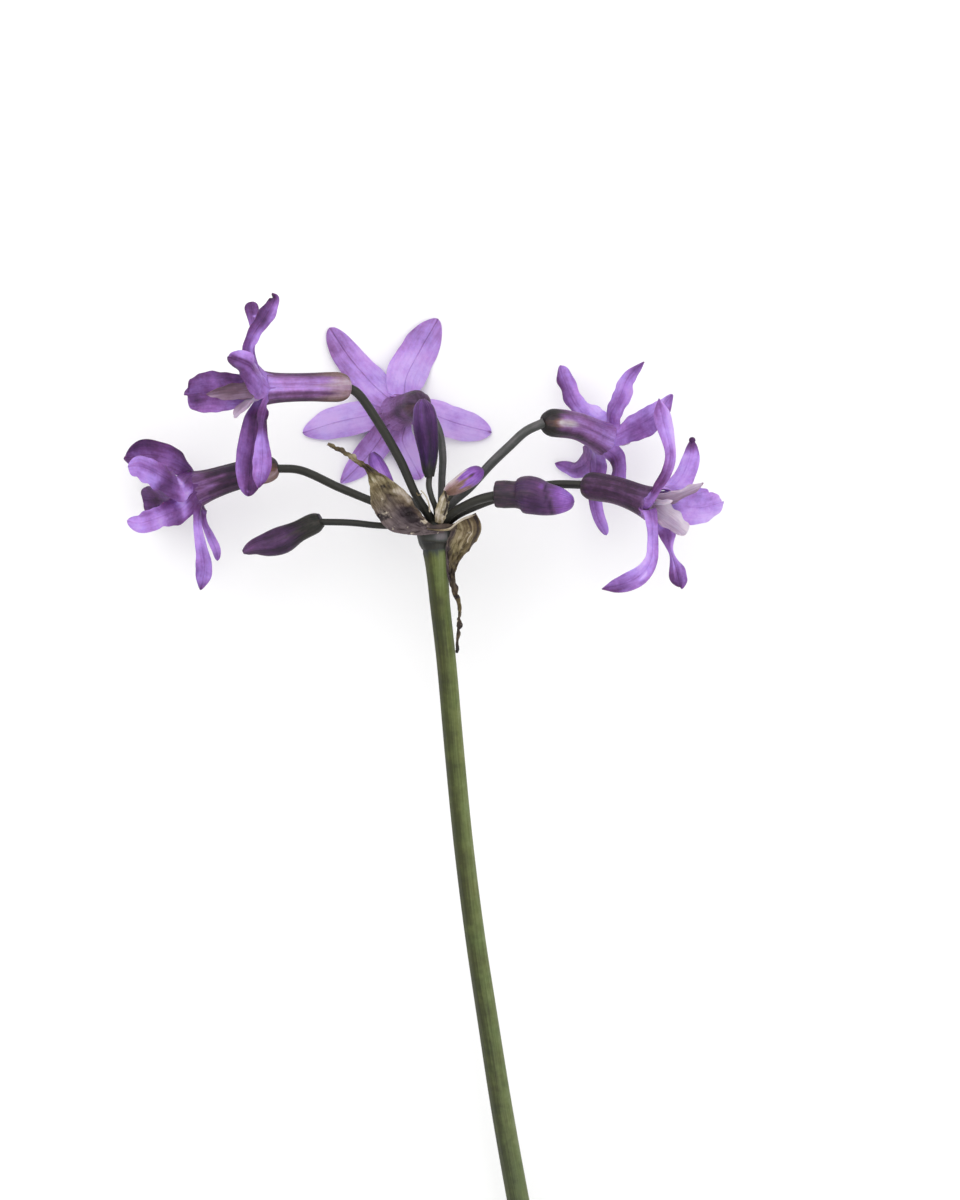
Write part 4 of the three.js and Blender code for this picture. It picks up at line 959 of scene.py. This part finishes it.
stalks = Shape()
rod(stalks, RECEPTACLE,
    {"shade": (0.25, 0.05, 0.3, 0.4, 0.1), "streaks_and_side_shade": [0, 0, 0.15, 0.1],
     "spots": [(0.42, 0.25, 0.14, 0.5, 0.5), (0.36, -0.4, 0.08, 0.3, 0.3), (0.3, 0.1, 0.05, 0.6, -0.2)]},
    sides=48, rings=60, lobes=8, lobe_depth=0.02)
for radius, shade, path in PEDICELS:
    points = [(*HEAD, radius * PEDICEL_ROOT), *[(*p, radius * PEDICEL_GIRTH) for p in path]]
    points[2] = (*path[1], radius)
    rod(stalks, points, {"shade": (shade, shade), "streaks_and_side_shade": [-0.05, 0, 0.1, 0]}, sides=20, rings=90,
        lobes=5, lobe_depth=0.03, even=True)
stalks.build("flower_stalks", stalk_skin, "pedicels")

spathe = Shape()
add_collar(spathe)
add_valve(spathe, LEFT_VALVE, lambda s, v: (1 - smooth(s, 0.3, 0.6)) * (0.4 + 0.6 * smooth(-v, -0.8, 0.0)))
add_valve(spathe, RIGHT_VALVE, lambda s, v: 0.8 * smooth(-v, 0.5, 0.9) + 0 * s)
blade(spathe, RIM, (0.2, 1, 0.3), [0.1, 0.2, 0.24, 0.26, 0.3, 0.2], turn=(0, 0), cup=0.2,
      shade=[0.6, 0.75, 0.85, 0.8], thick=0.2, edge=0.1, ragged=0.2, wave=0.15, stations=50, columns=13,
      tip=0.1)
add_trimmings(spathe)
spathe.build("papery_spathe", paper, "spathe")

for number, flower in enumerate(FLOWERS, start=1):
    bloom = Shape()
    add_tube(bloom, flower)
    mouth = mouth_of(flower)
    for spec in flower["tepals"]:
        add_tepal(bloom, mouth, flower, spec)
    bloom.build(f"bloom_{number}", petal, f"flower_{number}")
    throat = Shape()
    add_corona(throat, flower)
    throat.build(f"throat_{number}", corona_skin, f"corona_{number}")

for name, bud in BUDS.items():
    closed = Shape()
    rod(closed, bud["points"], bud, sides=60, rings=56, lobes=6, lobe_depth=0.03, rib=0.6)
    closed.build("closed_" + name, bud_skin, name)


# Floor, light and camera, in metres

WHITE = (1, 1, 1, 1)
FLOOR_SIZE = 4.0
LIGHT_AIM = (0.0, 0.06, 0.016)
LIGHT_SIZE = 1.1
SKY = 0.78


def add_floor():
    bpy.ops.mesh.primitive_plane_add(size=FLOOR_SIZE)
    floor = bpy.context.object
    floor.name = "floor"
    n = Nodes("pale_floor")
    matt = n.new("BsdfPrincipled", {"Base Color": WHITE, "Roughness": 0.9})[0]
    floor.data.materials.append(n.finish(matt))


def add_light(name, place, power):
    data = bpy.data.lights.new(name, "AREA")
    data.shape = "DISK"
    data.size = LIGHT_SIZE
    data.energy = power
    lamp = bpy.data.objects.new(name, data)
    lamp.location = place
    lamp.rotation_euler = (Vector(LIGHT_AIM) - Vector(place)).to_track_quat("-Z", "Y").to_euler()
    bpy.context.scene.collection.objects.link(lamp)


def add_camera():
    data = bpy.data.cameras.new("camera")
    data.sensor_width = SENSOR
    data.lens = SENSOR * CAMERA_HEIGHT / VIEW_HEIGHT
    camera = bpy.data.objects.new("camera", data)
    camera.location = (HEAD_TO_ROW + (*VIEW_CENTRE, VIEW_LEVEL + CAMERA_HEIGHT)) * MM
    bpy.context.scene.collection.objects.link(camera)
    bpy.context.scene.camera = camera


def add_sky():
    world = bpy.data.worlds.new("studio")
    world.use_nodes = True
    background = world.node_tree.nodes["Background"]
    background.inputs["Color"].default_value = WHITE
    background.inputs["Strength"].default_value = SKY
    bpy.context.scene.world = world


add_floor()
add_light("key", (-0.25, 0.55, 0.75), power=4.0)
add_light("fill", (0.5, -0.2, 0.8), power=2.3)
add_sky()
add_camera()
bpy.context.scene.view_settings.view_transform = "Standard"
